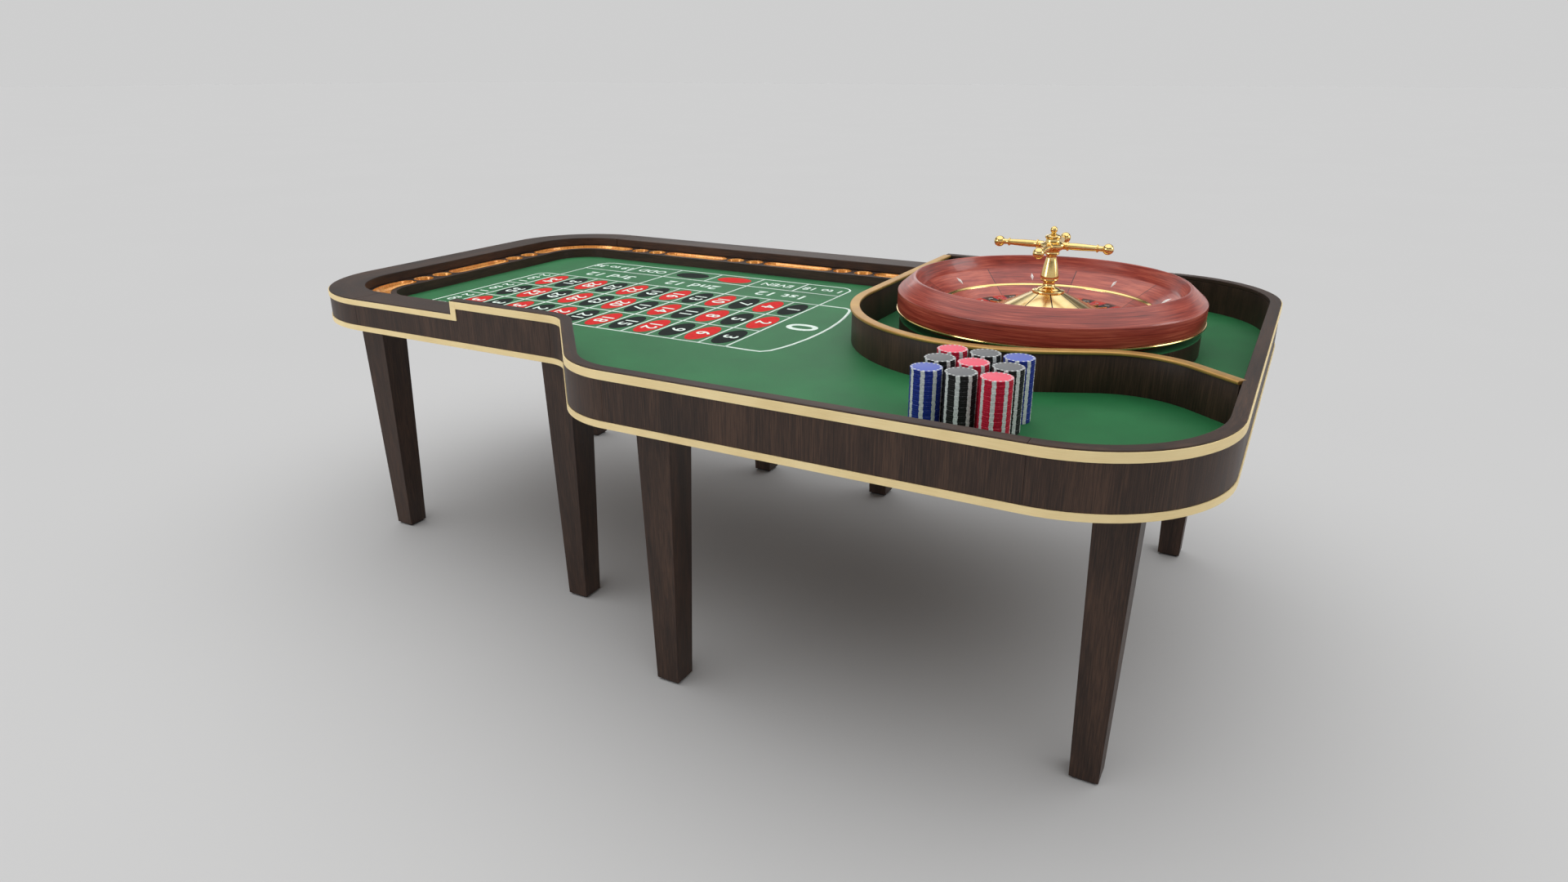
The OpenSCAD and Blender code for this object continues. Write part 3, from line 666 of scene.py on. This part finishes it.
wheelRed = enamel("wheel red enamel", srgb(176, 26, 24), srgb(206, 46, 36))
wheelBlack = enamel("wheel black enamel", srgb(20, 19, 20), srgb(36, 34, 35))
wheelGreen = enamel("wheel green enamel", srgb(20, 104, 56), srgb(34, 128, 72))
printWhite = enamel("white lettering", srgb(226, 238, 228), srgb(246, 250, 244), 0.5, 0.0, 0.3)


def sectors(piece, count):
    for face in piece.data.polygons:
        away = face.center.xy - Vector(hub)
        sector = int((math.atan2(away.y, away.x) / math.tau * count) % count)
        face.material_index = 2 if sector == 0 else sector % 2
    return piece


def makeRotor(look):
    disc = roundMap(smooth(turned("rotorDisc", look["disc"], hub, 120), 35))
    place(paint(disc, mahogany), "rotor", "rotor_disc")

    ring = smooth(turned("numberRingFace", look["numbers"], hub, look["steps"]), 35)
    sectors(paint(ring, wheelRed, wheelBlack, wheelGreen), look["pockets"])
    digits = []
    for i, number in enumerate(look["order"]):
        angle = math.radians((i + 0.5) * 360 / look["pockets"])
        digit = lettering(str(number), look["digitSize"], (0, 0, 0), 0, printWhite, 0.0004)
        laid(digit, turn=(look["digitLean"], 0, 0))   # up the slope of the ring
        at = (hub[0] + look["digitR"] * math.cos(angle), hub[1] + look["digitR"] * math.sin(angle), look["digitZ"])
        digits.append(laid(digit, at, (0, 0, angle - math.pi / 2)))
    place(join([ring] + digits, "numberRing"), "rotor", "number_ring")

    bed = smooth(turned("pocketRing", look["pocket"], hub, look["steps"]), 35)
    place(sectors(paint(bed, wheelRed, wheelBlack, wheelGreen), look["pockets"]), "rotor", "pocket_ring")

    bpy.ops.mesh.primitive_cube_add(size=1, location=(look["fretR"], 0, look["fretZ"]))
    blade = named(bpy.context.object, "fret")
    blade.scale = look["fretSize"]
    laid(bevelled(settle(blade), 0.0005, 2), (*hub, 0))
    frets = smooth(ringOf(blade, "pocketFrets", look["pockets"], (*hub, 0)), 35)
    place(paint(frets, brass), "rotor", "pocket_frets")

    turnedPiece("rotor", "rotor_cone", look["cone"], 128, coneFinish())


# spun brass cone with dark seams that run down it
def coneFinish(seams=8, halfWide=0.0020):
    f = Finish("spun brass cone", Metallic=1.0)
    local = f.stretched(f.place(), (1, 1, 1), (-hub[0], -hub[1], 0))
    xyz = f.add("SeparateXYZ", {}, {"Vector": local})
    y = Wire(f, xyz.socket.node.outputs[1])
    angle = y.maths("ARCTAN2", xyz) * (seams / math.tau)
    radius = (xyz * xyz + y * y) ** 0.5
    away = abs((angle + 100.0) % 1.0 - 0.5) * radius
    seam = away < halfWide
    rings = f.noise(f.add("CombineXYZ", {}, {"X": radius * 900.0, "Y": angle * 3.0}), 1, 3, 0.6)
    cloud = f.noise(f.place(), 14, 3, 0.6)
    colour = f.ramp(rings * 0.4 + cloud * 0.6,
                    (0.3, srgb(222, 192, 126)), (0.5, srgb(238, 212, 152)), (0.7, srgb(248, 226, 174)))
    f.feeds(Base_Color=f.mix(seam, colour, srgb(34, 24, 14)), Roughness=rings * 0.1 + 0.16, Metallic=1 - seam)
    f.bump(rings * 0.15 - seam, 0.0001)
    return f.material


# letters lie flat, facing up; turn is their turn about the upright
def lettering(words, size, at, turn, finish, thick, wide=1.0):
    bpy.ops.object.text_add(location=(0, 0, 0))
    text = bpy.context.object
    text.data.body = words
    text.data.size = size
    text.data.align_x = "CENTER"
    text.data.align_y = "CENTER"
    text.data.extrude = thick / 2
    text.data.resolution_u = 3 if size < 0.05 else 6
    text.data.offset = size * 0.012
    pick(text)
    bpy.ops.object.convert(target="MESH")
    text = bpy.context.object
    text.scale = (wide, 1, 1)
    return paint(laid(settle(text), at, (0, 0, math.radians(turn))), finish)


makeRotor(rotorLook)
bearings = softened("wheel_bearings", 0.0005)
place(paint(bearings, bearingSteel), "rotor", "wheel_bearings")


# the turret's profiles run outwards and up from the axis, the arm's along its own length
turretLook = {
    "column": [(0.0002, 0.9010), (0.0420, 0.9010), (0.0434, 0.9022), (0.0436, 0.9042), (0.0428, 0.9062),
               (0.0404, 0.9074), (0.0372, 0.9078), (0.0330, 0.9084), (0.0300, 0.9098), (0.0284, 0.9116),
               (0.0266, 0.9126), (0.0244, 0.9132), (0.0206, 0.9146), (0.0178, 0.9170), (0.0160, 0.9202),
               (0.0152, 0.9240), (0.0152, 0.9280), (0.0164, 0.9304), (0.0196, 0.9316), (0.0228, 0.9324),
               (0.0240, 0.9342), (0.0240, 0.9362), (0.0230, 0.9380), (0.0244, 0.9392), (0.0248, 0.9420),
               (0.0236, 0.9480), (0.0214, 0.9590), (0.0184, 0.9730), (0.0154, 0.9850), (0.0136, 0.9925),
               (0.0130, 0.9965), (0.0136, 0.9995), (0.0158, 1.0020), (0.0184, 1.0034), (0.0184, 1.0039),
               (0.0002, 1.0039)],
    "hub": [(0.0002, 1.0041), (0.0196, 1.0041), (0.0204, 1.0060), (0.0192, 1.0096), (0.0202, 1.0130),
            (0.0250, 1.0160), (0.0310, 1.0190), (0.0352, 1.0222), (0.0360, 1.0250), (0.0360, 1.0306),
            (0.0350, 1.0330), (0.0300, 1.0346), (0.0226, 1.0358), (0.0196, 1.0380), (0.0184, 1.0420),
            (0.0186, 1.0452), (0.0210, 1.0476), (0.0216, 1.0500), (0.0206, 1.0524), (0.0170, 1.0540),
            (0.0120, 1.0556), (0.0080, 1.0569), (0.0002, 1.0569)],
    "arm": [(0.0096, 0.0250), (0.0098, 0.0380), (0.0122, 0.0392), (0.0124, 0.0420), (0.0098, 0.0434),
            (0.0090, 0.0460), (0.0094, 0.0600), (0.0090, 0.0800), (0.0082, 0.1000), (0.0076, 0.1120),
            (0.0078, 0.1150), (0.0104, 0.1162), (0.0106, 0.1190), (0.0080, 0.1204), (0.0070, 0.1230),
            (0.0072, 0.1290)],
    "armZ": 1.0275, "ballAt": 0.145, "ballR": 0.0146,
    "finial": [(0.0002, 1.0571), (0.0078, 1.0571), (0.0082, 1.0582), (0.0056, 1.0600), (0.0050, 1.0612),
               (0.0062, 1.0618)],
    "finialR": 0.0094, "finialZ": 1.0681,
}


def ballProfile(r, z, start, steps=14):
    turn = [math.radians(start + (90 - start) * i / steps) for i in range(steps + 1)]
    return [(max(r * math.cos(a), 0.0002), z + r * math.sin(a)) for a in turn]


def makeTurret(look):
    turnedPiece("rotor", "turret_column", look["column"], 64, brass)
    middle = turned("crossHub", look["hub"], hub, 64)
    knob = ballProfile(look["ballR"], look["ballAt"], -60)
    profile = [(0.0002, look["arm"][0][1])] + look["arm"] + knob
    arm = laid(turned("crossArm", profile, (0, 0), 28), turn=(0, math.radians(90), 0))
    laid(arm, (*hub, look["armZ"]))
    cross = smooth(join([middle, ringOf(arm, "crossArms", 4, (*hub, 0))], "turretCross"), 35)
    place(paint(cross, brass), "rotor", "turret_cross")
    finial = look["finial"] + ballProfile(look["finialR"], look["finialZ"], -48)
    turnedPiece("rotor", "turret_finial", finial, 40, brass)


makeTurret(turretLook)
print("rotor and turret done")


# fence round the wheel: an upright board that bends, and a round-edged gold cap
fenceLook = {
    "edge": 0.303, "back": 0.8265, "c": (0.750, 0.150), "r": 0.447,
    "run": 0.120, "rise": 25, "crest": 0.190, "fall": 38, "wall": 1.350,
    "wallThick": 0.016, "wallLow": 0.765, "wallHigh": 0.860, "capWide": 0.027, "capHigh": 0.868,
}


# line of the fence moved inwards by d from the cap's outer edge, from the back wall to the right wall
def fenceLine(look, d):
    cx, cy = look["c"]
    rise, fall = math.radians(look["rise"]), math.radians(look["fall"])
    points = [(look["edge"] + d, look["back"] - 0.001)]
    points += [(look["edge"] + d, cy + (look["back"] - cy) * k / 10) for k in range(9, 0, -1)]
    points += arcPoints(cx, cy, look["r"] - d, 180, 270 + look["rise"], 64)
    end = (cx + look["r"] * math.cos(rise - math.pi / 2) + look["run"] * math.cos(rise),
           cy + look["r"] * math.sin(rise - math.pi / 2) + look["run"] * math.sin(rise))
    crest = (end[0] + look["crest"] * math.sin(rise), end[1] - look["crest"] * math.cos(rise))
    points += arcPoints(*crest, look["crest"] + d, 90 + look["rise"], 90 - look["fall"], 24)
    x, y = points[-1]
    far = (look["wall"] - x) / math.cos(fall)
    points.append((look["wall"], y - far * math.sin(fall)))
    return points


# a section of (side, up) corners carried along a path by a curve, then made a mesh
def swept(name, points, section, sizes=None):
    outlineData = bpy.data.curves.new(name + "Section", "CURVE")
    spline = outlineData.splines.new("POLY")
    spline.points.add(len(section) - 1)
    for point, (side, up) in zip(spline.points, section):
        point.co = (side, up, 0, 1)
    spline.use_cyclic_u = True
    sectionObject = bpy.data.objects.new(name + "Section", outlineData)
    data = bpy.data.curves.new(name, "CURVE")
    data.dimensions = "3D"
    data.twist_mode = "Z_UP"
    line = data.splines.new("POLY")
    line.points.add(len(points) - 1)
    for i, (point, place3d) in enumerate(zip(line.points, points)):
        point.co = (*place3d, 1)
        point.radius = sizes[i] if sizes else 1.0
    data.bevel_mode = "OBJECT"
    data.bevel_object = sectionObject
    data.use_fill_caps = True
    piece = bpy.data.objects.new(name, data)
    bpy.context.scene.collection.objects.link(piece)
    bpy.context.scene.collection.objects.link(sectionObject)
    pick(piece)
    bpy.ops.object.convert(target="MESH")
    piece = named(bpy.context.object, name)
    bpy.data.objects.remove(sectionObject)
    return faceOut(piece)


def roundedBar(wide, low, high, r, steps=4):
    x = wide / 2 - r
    corners = [(x, high - r, 0), (-x, high - r, 90), (-x, low + r, 180), (x, low + r, 270)]
    return [p for cx, cy, a in corners for p in arcPoints(cx, cy, r, a, a + 90, steps)]


def makeFence(look):
    middle = [(x, y, 0) for x, y in fenceLine(look, look["capWide"] / 2)]
    board = roundedBar(look["wallThick"], look["wallLow"], look["wallHigh"], 0.0012, 2)
    cap = roundedBar(look["capWide"], look["wallHigh"], look["capHigh"], 0.0028, 4)
    for name, section, finish, cadName in (("fenceBoard", board, darkWoodUp, "fence_wall"),
                                           ("fenceCap", cap, capGold, "fence_cap")):
        piece = mapAlong(smooth(swept(name, middle, section), 35), [p[:2] for p in middle])
        place(paint(piece, finish), "table", cadName)


makeFence(fenceLook)
print("fence done")


# chip rail liners: ribbed amber gutters and fluted cups
railLook = {
    "backY": 0.7105, "frontY": -0.3725, "leftX": -1.234, "top": 0.800, "depth": 0.0235, "r": 0.033, "wall": 0.0011,
    "cupsX": [0.0105, -0.4305, -0.8715], "cupsY": [-0.0525, 0.3885], "cupStep": 0.041, "cornerX": -1.057,
    "cornerY": [-0.1955, 0.5335], "bend": 0.177, "rib": 0.0030, "ribIn": 0.955, "gap": 0.0004,
    "rows": [(-0.7885, -0.5135), (-0.3475, -0.0725), (0.0935, 0.2925)], "side": (0.0305, 0.3055),
    "frontRow": (-0.7885, -0.675), "cornerEndX": -0.9545, "cornerSideY": (-0.1355, 0.4715),
}


def amberFinish():
    f = Finish("amber liner", Coat_Weight=0.5, Coat_Roughness=0.12, Specular_IOR_Level=0.6)
    cloud = f.noise(f.place(), 38, 4, 0.6, 0.6)
    brush = f.noise(f.stretched(f.place(), (300, 300, 60)), 1, 3, 0.6)
    colour = f.ramp(cloud * 0.6 + brush * 0.4,
                    (0.32, srgb(196, 116, 40)), (0.5, srgb(232, 156, 66)), (0.68, srgb(248, 192, 104)))
    f.feeds(Base_Color=colour, Roughness=brush * 0.14 + 0.22, Metallic=cloud * 0.3 + 0.25)
    f.bump(brush, 0.00008)
    return f.material


# even points along a run of (x, y) corners
def evenly(points, step):
    spots, carry = [points[0]], 0.0
    for (x0, y0), (x1, y1) in zip(points, points[1:]):
        far = math.hypot(x1 - x0, y1 - y0)
        while carry + step <= far:
            carry += step
            spots.append((x0 + (x1 - x0) * carry / far, y0 + (y1 - y0) * carry / far))
        carry -= far
    return spots


# a trough along a line: every other section is drawn in as a rib, and the ends close round
def gutter(name, line, look):
    half = look["r"] - look["gap"]
    spots = evenly(line, look["rib"])
    total = len(spots) - 1
    sizes = []
    for i in range(len(spots)):
        near = min(i, total - i) * look["rib"]
        fit = math.sqrt(max(1 - (1 - min(near / look["r"], 1)) ** 2, 0)) if near < look["r"] else 1.0
        sizes.append(max(fit, 0.12) * (look["ribIn"] if i % 2 else 1.0))
    under = [(half * math.cos(a), -look["depth"] * abs(math.sin(a)) ** 0.8)
             for a in [math.radians(180 + 180 * k / 14) for k in range(15)]]
    inner = [(x * 0.93, y * 0.93) for x, y in reversed(under)]
    return swept(name, [(x, y, look["top"]) for x, y in spots], under + inner, sizes)


def makeRailLiners(look):
    amber = amberFinish()
    lines = [[(a, look["backY"]), (b, look["backY"])] for a, b in look["rows"]]
    lines.append([(look["leftX"], look["side"][0]), (look["leftX"], look["side"][1])])
    lines.append([(look["frontRow"][0], look["frontY"]), (look["frontRow"][1], look["frontY"])])
    (frontBend, backBend), (frontEnd, backEnd) = look["cornerY"], look["cornerSideY"]
    for end, bend, last, y in ((backEnd, backBend, 90, look["backY"]), (frontEnd, frontBend, 270, look["frontY"])):
        lines.append([(look["leftX"], end)] + arcPoints(look["cornerX"], bend, look["bend"], 180, last, 24)
                     + [(look["cornerEndX"], y)])
    troughs = join([gutter(f"gutter{i}", line, look) for i, line in enumerate(lines)], "troughLiners")
    place(paint(smooth(troughs, 50), amber), "table", "trough_liners")

    # a cup, its wall fluted by drawing every other edge in
    r, top, deep, wall = look["r"] - look["gap"], look["top"], look["depth"], look["wall"]
    lip = 0.0012
    outside = [(0.0002, top - deep), (r * 0.70, top - deep), (r * 0.88, top - deep * 0.88),
               (r * 0.97, top - deep * 0.6), (r, top - lip), (r, top)]
    inside = [(r - wall, top), (r - wall * 1.2, top - lip), (r * 0.92, top - deep * 0.6),
              (r * 0.83, top - deep * 0.84), (r * 0.66, top - deep + wall), (0.0002, top - deep + wall)]
    cup = edit(turned("cup", outside + inside, (0, 0), 48))
    bpy.ops.mesh.select_all(action="DESELECT")
    objectMode()
    for vertex in cup.data.vertices:
        turn = round(math.degrees(math.atan2(vertex.co.y, vertex.co.x)) / 7.5) % 2
        vertex.select = turn == 1 and vertex.co.xy.length > r * 0.5 and vertex.co.z < top - 0.0005
    bpy.ops.object.mode_set(mode="EDIT")
    bpy.ops.transform.resize(value=(0.955, 0.955, 1), center_override=(0, 0, 0))
    objectMode()
    spots = [(x + s * look["cupStep"], look["backY"]) for x in look["cupsX"] for s in (-1, 1)]
    spots += [(look["leftX"], y + s * look["cupStep"]) for y in look["cupsY"] for s in (-1, 1)]
    spots += [(look["cupsX"][-1] + s * look["cupStep"], look["frontY"]) for s in (-1, 1)]
    cups = join([moveCopy(cup, f"cup{i}", (x, y, 0)) for i, (x, y) in enumerate(spots)], "cupLiners")
    bpy.data.objects.remove(cup)
    place(paint(smooth(cups, 50), amber), "table", "cup_liners")


makeRailLiners(railLook)
print("liners done")


# chips: a plain one and a top one are modelled, then stacked
chipLook = {
    "count": 30, "thick": 0.0046, "steps": 24,
    "body": [(0.0002, 0.0), (0.0324, 0.0), (0.0330, 0.0006), (0.0330, 0.0040), (0.0324, 0.0046), (0.0002, 0.0046)],
    "top": [(0.0002, 0.0), (0.0324, 0.0), (0.0330, 0.0006), (0.0330, 0.0040), (0.0324, 0.0046), (0.0272, 0.0046),
            (0.0268, 0.0044), (0.0262, 0.0044), (0.0258, 0.0046), (0.0002, 0.0046)],
    "stripes": 8, "stripeWide": 0.34, "dashes": 18, "dashWide": 0.45, "dashIn": 0.0278,
    "white": (srgb(196, 202, 202), srgb(226, 230, 228)),
    # each chip colour: dark and mid clay, then a paler copy that is painted on the top faces as a painted highlight,
    # as if the tops were lit from above
    "colours": {
        "chip_blue": (srgb(16, 34, 118), srgb(30, 56, 152), srgb(104, 118, 196)),
        "chip_red": (srgb(172, 12, 46), srgb(204, 26, 60), srgb(244, 104, 124)),
        "chip_black": (srgb(18, 18, 19), srgb(34, 34, 35), srgb(120, 122, 124)),
    },
}


# the map holds each face point's place on its own chip, in metres, so copies keep their pattern
def chipMap(chip):
    layer = chip.data.uv_layers.new(name="chip")
    for face in chip.data.polygons:
        for i in face.loop_indices:
            at = chip.data.vertices[chip.data.loops[i].vertex_index].co
            layer.data[i].uv = (at.x * 10 + 0.5, at.y * 10 + 0.5)
    return chip


def chipFinish(name, look, dark, mid, paintedLitTop):
    f = Finish(name, Specular_IOR_Level=0.3)
    flat = f.stretched(f.uv("chip"), (0.1, 0.1, 1), (-0.05, -0.05, 0))
    x = f.add("SeparateXYZ", {}, {"Vector": flat})
    y = Wire(f, x.socket.node.outputs[1])
    turn = y.maths("ARCTAN2", x) / math.tau + 10.0
    radius = (x * x + y * y) ** 0.5
    normal = f.add("NewGeometry", {}, {}, "Normal")
    face = f.add("SeparateXYZ", {}, {"Vector": normal}, "Z") > 0.85
    stripe = (turn * look["stripes"]) % 1.0 < look["stripeWide"]
    dash = (turn * look["dashes"] + 0.2) % 1.0 < look["dashWide"]
    rim = radius > look["dashIn"]
    cloud = f.noise(f.place(), 260, 3, 0.6)
    clay = f.ramp(cloud, (0.35, dark), (0.65, mid))
    white = f.ramp(cloud, (0.35, look["white"][0]), (0.65, look["white"][1]))
    # painted highlight: the top faces take a paler copy of the clay colour than the sides; the white dashes on the
    # top rim are the chip's own print
    litTopColour = f.ramp(cloud, (0.35, tuple(c * 0.93 for c in paintedLitTop)), (0.65, paintedLitTop))
    side = f.mix(stripe, clay, white)
    band = f.mix(dash, litTopColour, white)
    f.feeds(Base_Color=f.mix(face, side, f.mix(rim, litTopColour, band)), Roughness=cloud * 0.15 + 0.42)
    f.bump(cloud, 0.00004, 0.4)
    return f.material


def makeStacks(look):
    finishes = {slot: chipFinish(slot.replace("_", " "), look, *tones) for slot, tones in look["colours"].items()}
    body = chipMap(smooth(turned("chipBody", look["body"], (0, 0), look["steps"]), 35))
    top = chipMap(smooth(turned("chipTop", look["top"], (0, 0), look["steps"] * 2), 35))
    for cadName, slot in slotOf.items():
        if not cadName.startswith("chips_"):
            continue
        lowest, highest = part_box(cadName)
        middle = ((lowest.x + highest.x) / 2, (lowest.y + highest.y) / 2)
        chips = []
        for i in range(look["count"]):
            source = top if i == look["count"] - 1 else body
            wobble = math.sin(i * 2.3 + middle[0] * 90) * 0.7
            chip = turnCopy(source, f"{cadName}{i}", wobble, (0, 0, 0))
            chip.location = (middle[0] + 0.00025 * math.sin(i * 1.9), middle[1] + 0.00025 * math.cos(i * 2.7),
                             lowest.z + i * look["thick"])
            chips.append(chip)
        stack = settle(join(chips, plain(cadName)))
        place(paint(stack, finishes[slot]), cadName.replace("chips_", "stack_"), cadName)
    bpy.data.objects.remove(body)
    bpy.data.objects.remove(top)


makeStacks(chipLook)
print("chips done")


# the printed layout: number grid, zero, dozens and outside bets
layoutLook = {
    "right": 0.078, "left": -0.982, "near": -0.257, "far": 0.310, "columns": 12, "end": -1.062,
    "dozens": 0.457, "outside": 0.585, "line": 0.0064, "top": 0.7680, "lift": 0.00008,
    "corner": 0.050, "endCorner": 0.035, "ovalLong": 0.84, "ovalWide": 0.82, "colourOval": (0.086, 0.130),
    "digitSize": 0.062, "endSize": 0.052, "zeroSize": 0.135, "dozenSize": 0.074, "outsideSize": 0.056,
    "zeroAt": (0.158, 0.028),
    "zero": [(0.083, -0.257), (0.150, -0.259), (0.186, -0.257), (0.206, -0.236), (0.219, -0.195), (0.229, -0.150),
             (0.238, -0.080), (0.241, -0.010), (0.239, 0.060), (0.232, 0.130), (0.222, 0.190), (0.209, 0.245),
             (0.199, 0.280), (0.188, 0.300), (0.170, 0.310), (0.130, 0.310), (0.078, 0.310)],
}
printRed = enamel("red print", srgb(206, 38, 38), srgb(222, 50, 48), 0.8, 0.0, 0.2)
printBlack = enamel("black print", srgb(24, 32, 30), srgb(32, 40, 38), 0.8, 0.0, 0.2)
printLine = enamel("white print", srgb(222, 242, 230), srgb(242, 252, 246), 0.8, 0.0, 0.2)


def stroke(name, points, wide, top):
    section = [(wide / 2, 0.0003), (-wide / 2, 0.0003), (-wide / 2, -0.0003), (wide / 2, -0.0003)]
    return paint(swept(name, [(x, y, top) for x, y in points], section), printLine)


def oval(name, at, long, wide, top, finish):
    bpy.ops.mesh.primitive_circle_add(vertices=40, radius=0.5, fill_type="NGON", location=(0, 0, 0))
    disc = named(bpy.context.object, name)
    disc.scale = (wide, long, 1)
    disc.location = (*at, top - 0.0003)
    settle(disc)
    edit(disc, "FACE")
    selectAll()
    bpy.ops.mesh.extrude_region_move(TRANSFORM_OT_translate={"value": (0, 0, 0.0005)})
    objectMode()
    return paint(faceOut(disc), finish)


def makeLayout(look):
    top, wide = look["top"], look["line"]
    left, right, near, far = look["left"], look["right"], look["near"], look["far"]
    column = (right - left) / look["columns"]
    row = (far - near) / 3
    lift = look["lift"]
    prints = []
    for i in range(look["columns"] + 1):
        x = right - i * column
        reach = look["outside"] if i in (4, 8) else look["dozens"] if i in (0, 12) else far
        prints.append(stroke(f"column{i}", [(x, near), (x, reach)], wide, top))
        if i in (2, 6, 10):
            prints.append(stroke(f"outside{i}", [(x, look["dozens"]), (x, look["outside"])], wide, top))
    for k in range(4):
        y = near + k * row
        prints.append(stroke(f"row{k}", [(look["end"] if k in (1, 2) else left, y), (right, y)], wide, top + lift))
    prints.append(stroke("dozensLine", [(left, look["dozens"]), (right, look["dozens"])], wide, top + lift))
    c = look["corner"]
    ring = [(left, look["dozens"])] + arcPoints(left + c, look["outside"] - c, c, 180, 90, 10)
    ring += arcPoints(right - c, look["outside"] - c, c, 90, 0, 10) + [(right, look["dozens"])]
    prints.append(stroke("outsideRing", ring, wide, top + 2 * lift))
    e = look["endCorner"]
    ends = [(left, near)] + arcPoints(look["end"] + e, near + e, e, 270, 180, 8)
    ends += arcPoints(look["end"] + e, far - e, e, 180, 90, 8) + [(left, far)]
    prints.append(stroke("endRing", ends, wide, top + 2 * lift))
    prints.append(stroke("zeroRing", look["zero"], wide * 1.35, top + 3 * lift))
    for k in range(look["columns"]):
        for j in range(3):
            x = right - (k + 0.5) * column
            y = far - (j + 0.5) * row
            finish = printRed if (k + j) % 2 else printBlack
            long, across = row * look["ovalLong"], column * look["ovalWide"]
            prints.append(oval(f"oval{k}_{j}", (x, y), long, across, top, finish))
            digits = str(3 * k + j + 1)
            prints.append(lettering(digits, look["digitSize"], (x, y, top + 0.0003), -90, printLine, 0.0004, 1.15))
    for j in range(3):
        y = far - (j + 0.5) * row
        at = ((left + look["end"]) / 2, y, top)
        prints.append(lettering("2 to 1", look["endSize"], at, -90, printLine, 0.0006, 1.15))
    prints.append(lettering("0", look["zeroSize"], (*look["zeroAt"], top), -90, printLine, 0.0006, 1.15))
    for k, words in enumerate(("1st 12", "2nd 12", "3rd 12")):
        x = right - (k + 0.5) * column * 4
        at = (x, (far + look["dozens"]) / 2, top)
        prints.append(lettering(words, look["dozenSize"], at, 180, printLine, 0.0006, 1.05))
    middle = (look["dozens"] + look["outside"]) / 2
    for k, words in enumerate(("1 to 18", "EVEN", "", "", "ODD", "19 to 36")):
        x = right - (k + 0.5) * column * 2
        if words:
            prints.append(lettering(words, look["outsideSize"], (x, middle, top), 180, printLine, 0.0006, 0.92))
    for k, finish in ((2, printRed), (3, printBlack)):
        x = right - (k + 0.5) * column * 2
        prints.append(oval(f"colour{k}", (x, middle), *look["colourOval"], top, finish))
    sheetPrint = join(prints, "layoutPrint")
    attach(sheetPrint, "table")
    return sheetPrint


def makeCloths():
    sheetPrint = makeLayout(layoutLook)
    field = softened("layout_cloth", 0)
    pit = softened("pit_cloth", 0)
    for piece, cadName, extra in ((field, "layout_cloth", [sheetPrint]), (pit, "pit_cloth", [])):
        place(paint(piece, felt), "table", cadName)
        plain("bed_panel_left")
        plain("bed_panel_right")


makeCloths()
print("cloths and print done")


# plain grey at a linear level
def grey(level):
    return (level, level, level, 1)


# dome brightness by height above the skyline: plain backdrop, a darker belt, a broad bright ceiling
stageLook = {
    "floor": grey(0.655), "bright": 2.0,
    "dome": [(0.0, grey(0.31)), (0.23, grey(0.31)), (0.31, grey(0.05)), (0.51, grey(0.05)), (0.69, grey(0.67)),
             (1.0, grey(0.73))],
    "camera": (1.435, -2.4295, 1.462), "turn": 28.44, "pitch": 20.72, "lens": 22.41,
}


class Sky(Finish):
    def __init__(self, world):
        self.tree = world.node_tree


def softLight(name, place, target, size, watts):
    bpy.ops.object.light_add(type="AREA", location=place)
    lamp = bpy.context.object
    lamp.name = name
    lamp.data.shape = "RECTANGLE"
    lamp.data.size, lamp.data.size_y = size
    lamp.data.energy = watts
    lamp.visible_camera = False
    lamp.rotation_euler = (Vector(target) - Vector(place)).to_track_quat("-Z", "Y").to_euler()
    return lamp


def makeStage(look):
    bpy.ops.mesh.primitive_plane_add(size=240, location=(0, 0, 0))
    floor = named(bpy.context.object, "studioFloor")
    f = Finish("pale floor", Specular_IOR_Level=0.0, Roughness=1.0)
    cloud = f.noise(f.place(), 0.7, 2, 0.5)
    f.feeds(Base_Color=f.ramp(cloud, (0.3, tuple(c * 0.99 for c in look["floor"])), (0.7, look["floor"])))
    paint(floor, f.material)
    floor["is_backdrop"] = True
    world = bpy.data.worlds.new("studio")
    bpy.context.scene.world = world
    world.use_nodes = True
    sky = Sky(world)
    way = sky.add("SeparateXYZ", {}, {"Vector": sky.add("TexCoord", {}, {}, "Generated")}, "Z")
    sky.feed(world.node_tree.nodes["Background"].inputs["Color"], sky.ramp(way, *look["dome"]))
    world.node_tree.nodes["Background"].inputs["Strength"].default_value = look["bright"]
    bpy.context.scene.view_settings.view_transform = "Standard"
    bpy.ops.object.camera_add(location=look["camera"])
    camera = bpy.context.object
    turn, pitch = math.radians(look["turn"]), math.radians(look["pitch"])
    ahead = Vector((-math.sin(turn) * math.cos(pitch), math.cos(turn) * math.cos(pitch), -math.sin(pitch)))
    camera.rotation_euler = ahead.to_track_quat("-Z", "Y").to_euler()
    camera.data.lens = look["lens"]
    camera.data.sensor_width = 36
    camera.data.clip_end = 500
    bpy.context.scene.camera = camera


makeStage(stageLook)
lamps = [
    softLight("sheenBack", (-2.0, 4.4, 2.5), (0.3, -0.2, 0.77), (2.6, 1.3), 12),
    softLight("sideRight", (4.2, 1.2, 2.2), (0.6, 0, 0.8), (1.6, 1.6), 30),
    softLight("frontLeft", (-2.6, -3.6, 2.2), (0, -0.4, 0.7), (2.0, 1.6), 44),
]
lit = bpy.data.collections.new("lit")
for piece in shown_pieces():
    lit.objects.link(piece)
for lamp in lamps:
    lamp.light_linking.receiver_collection = lit
print("stage done")


def corners(box):
    return [[round(v, 5) for v in box[0]], [round(v, 5) for v in box[1]]]
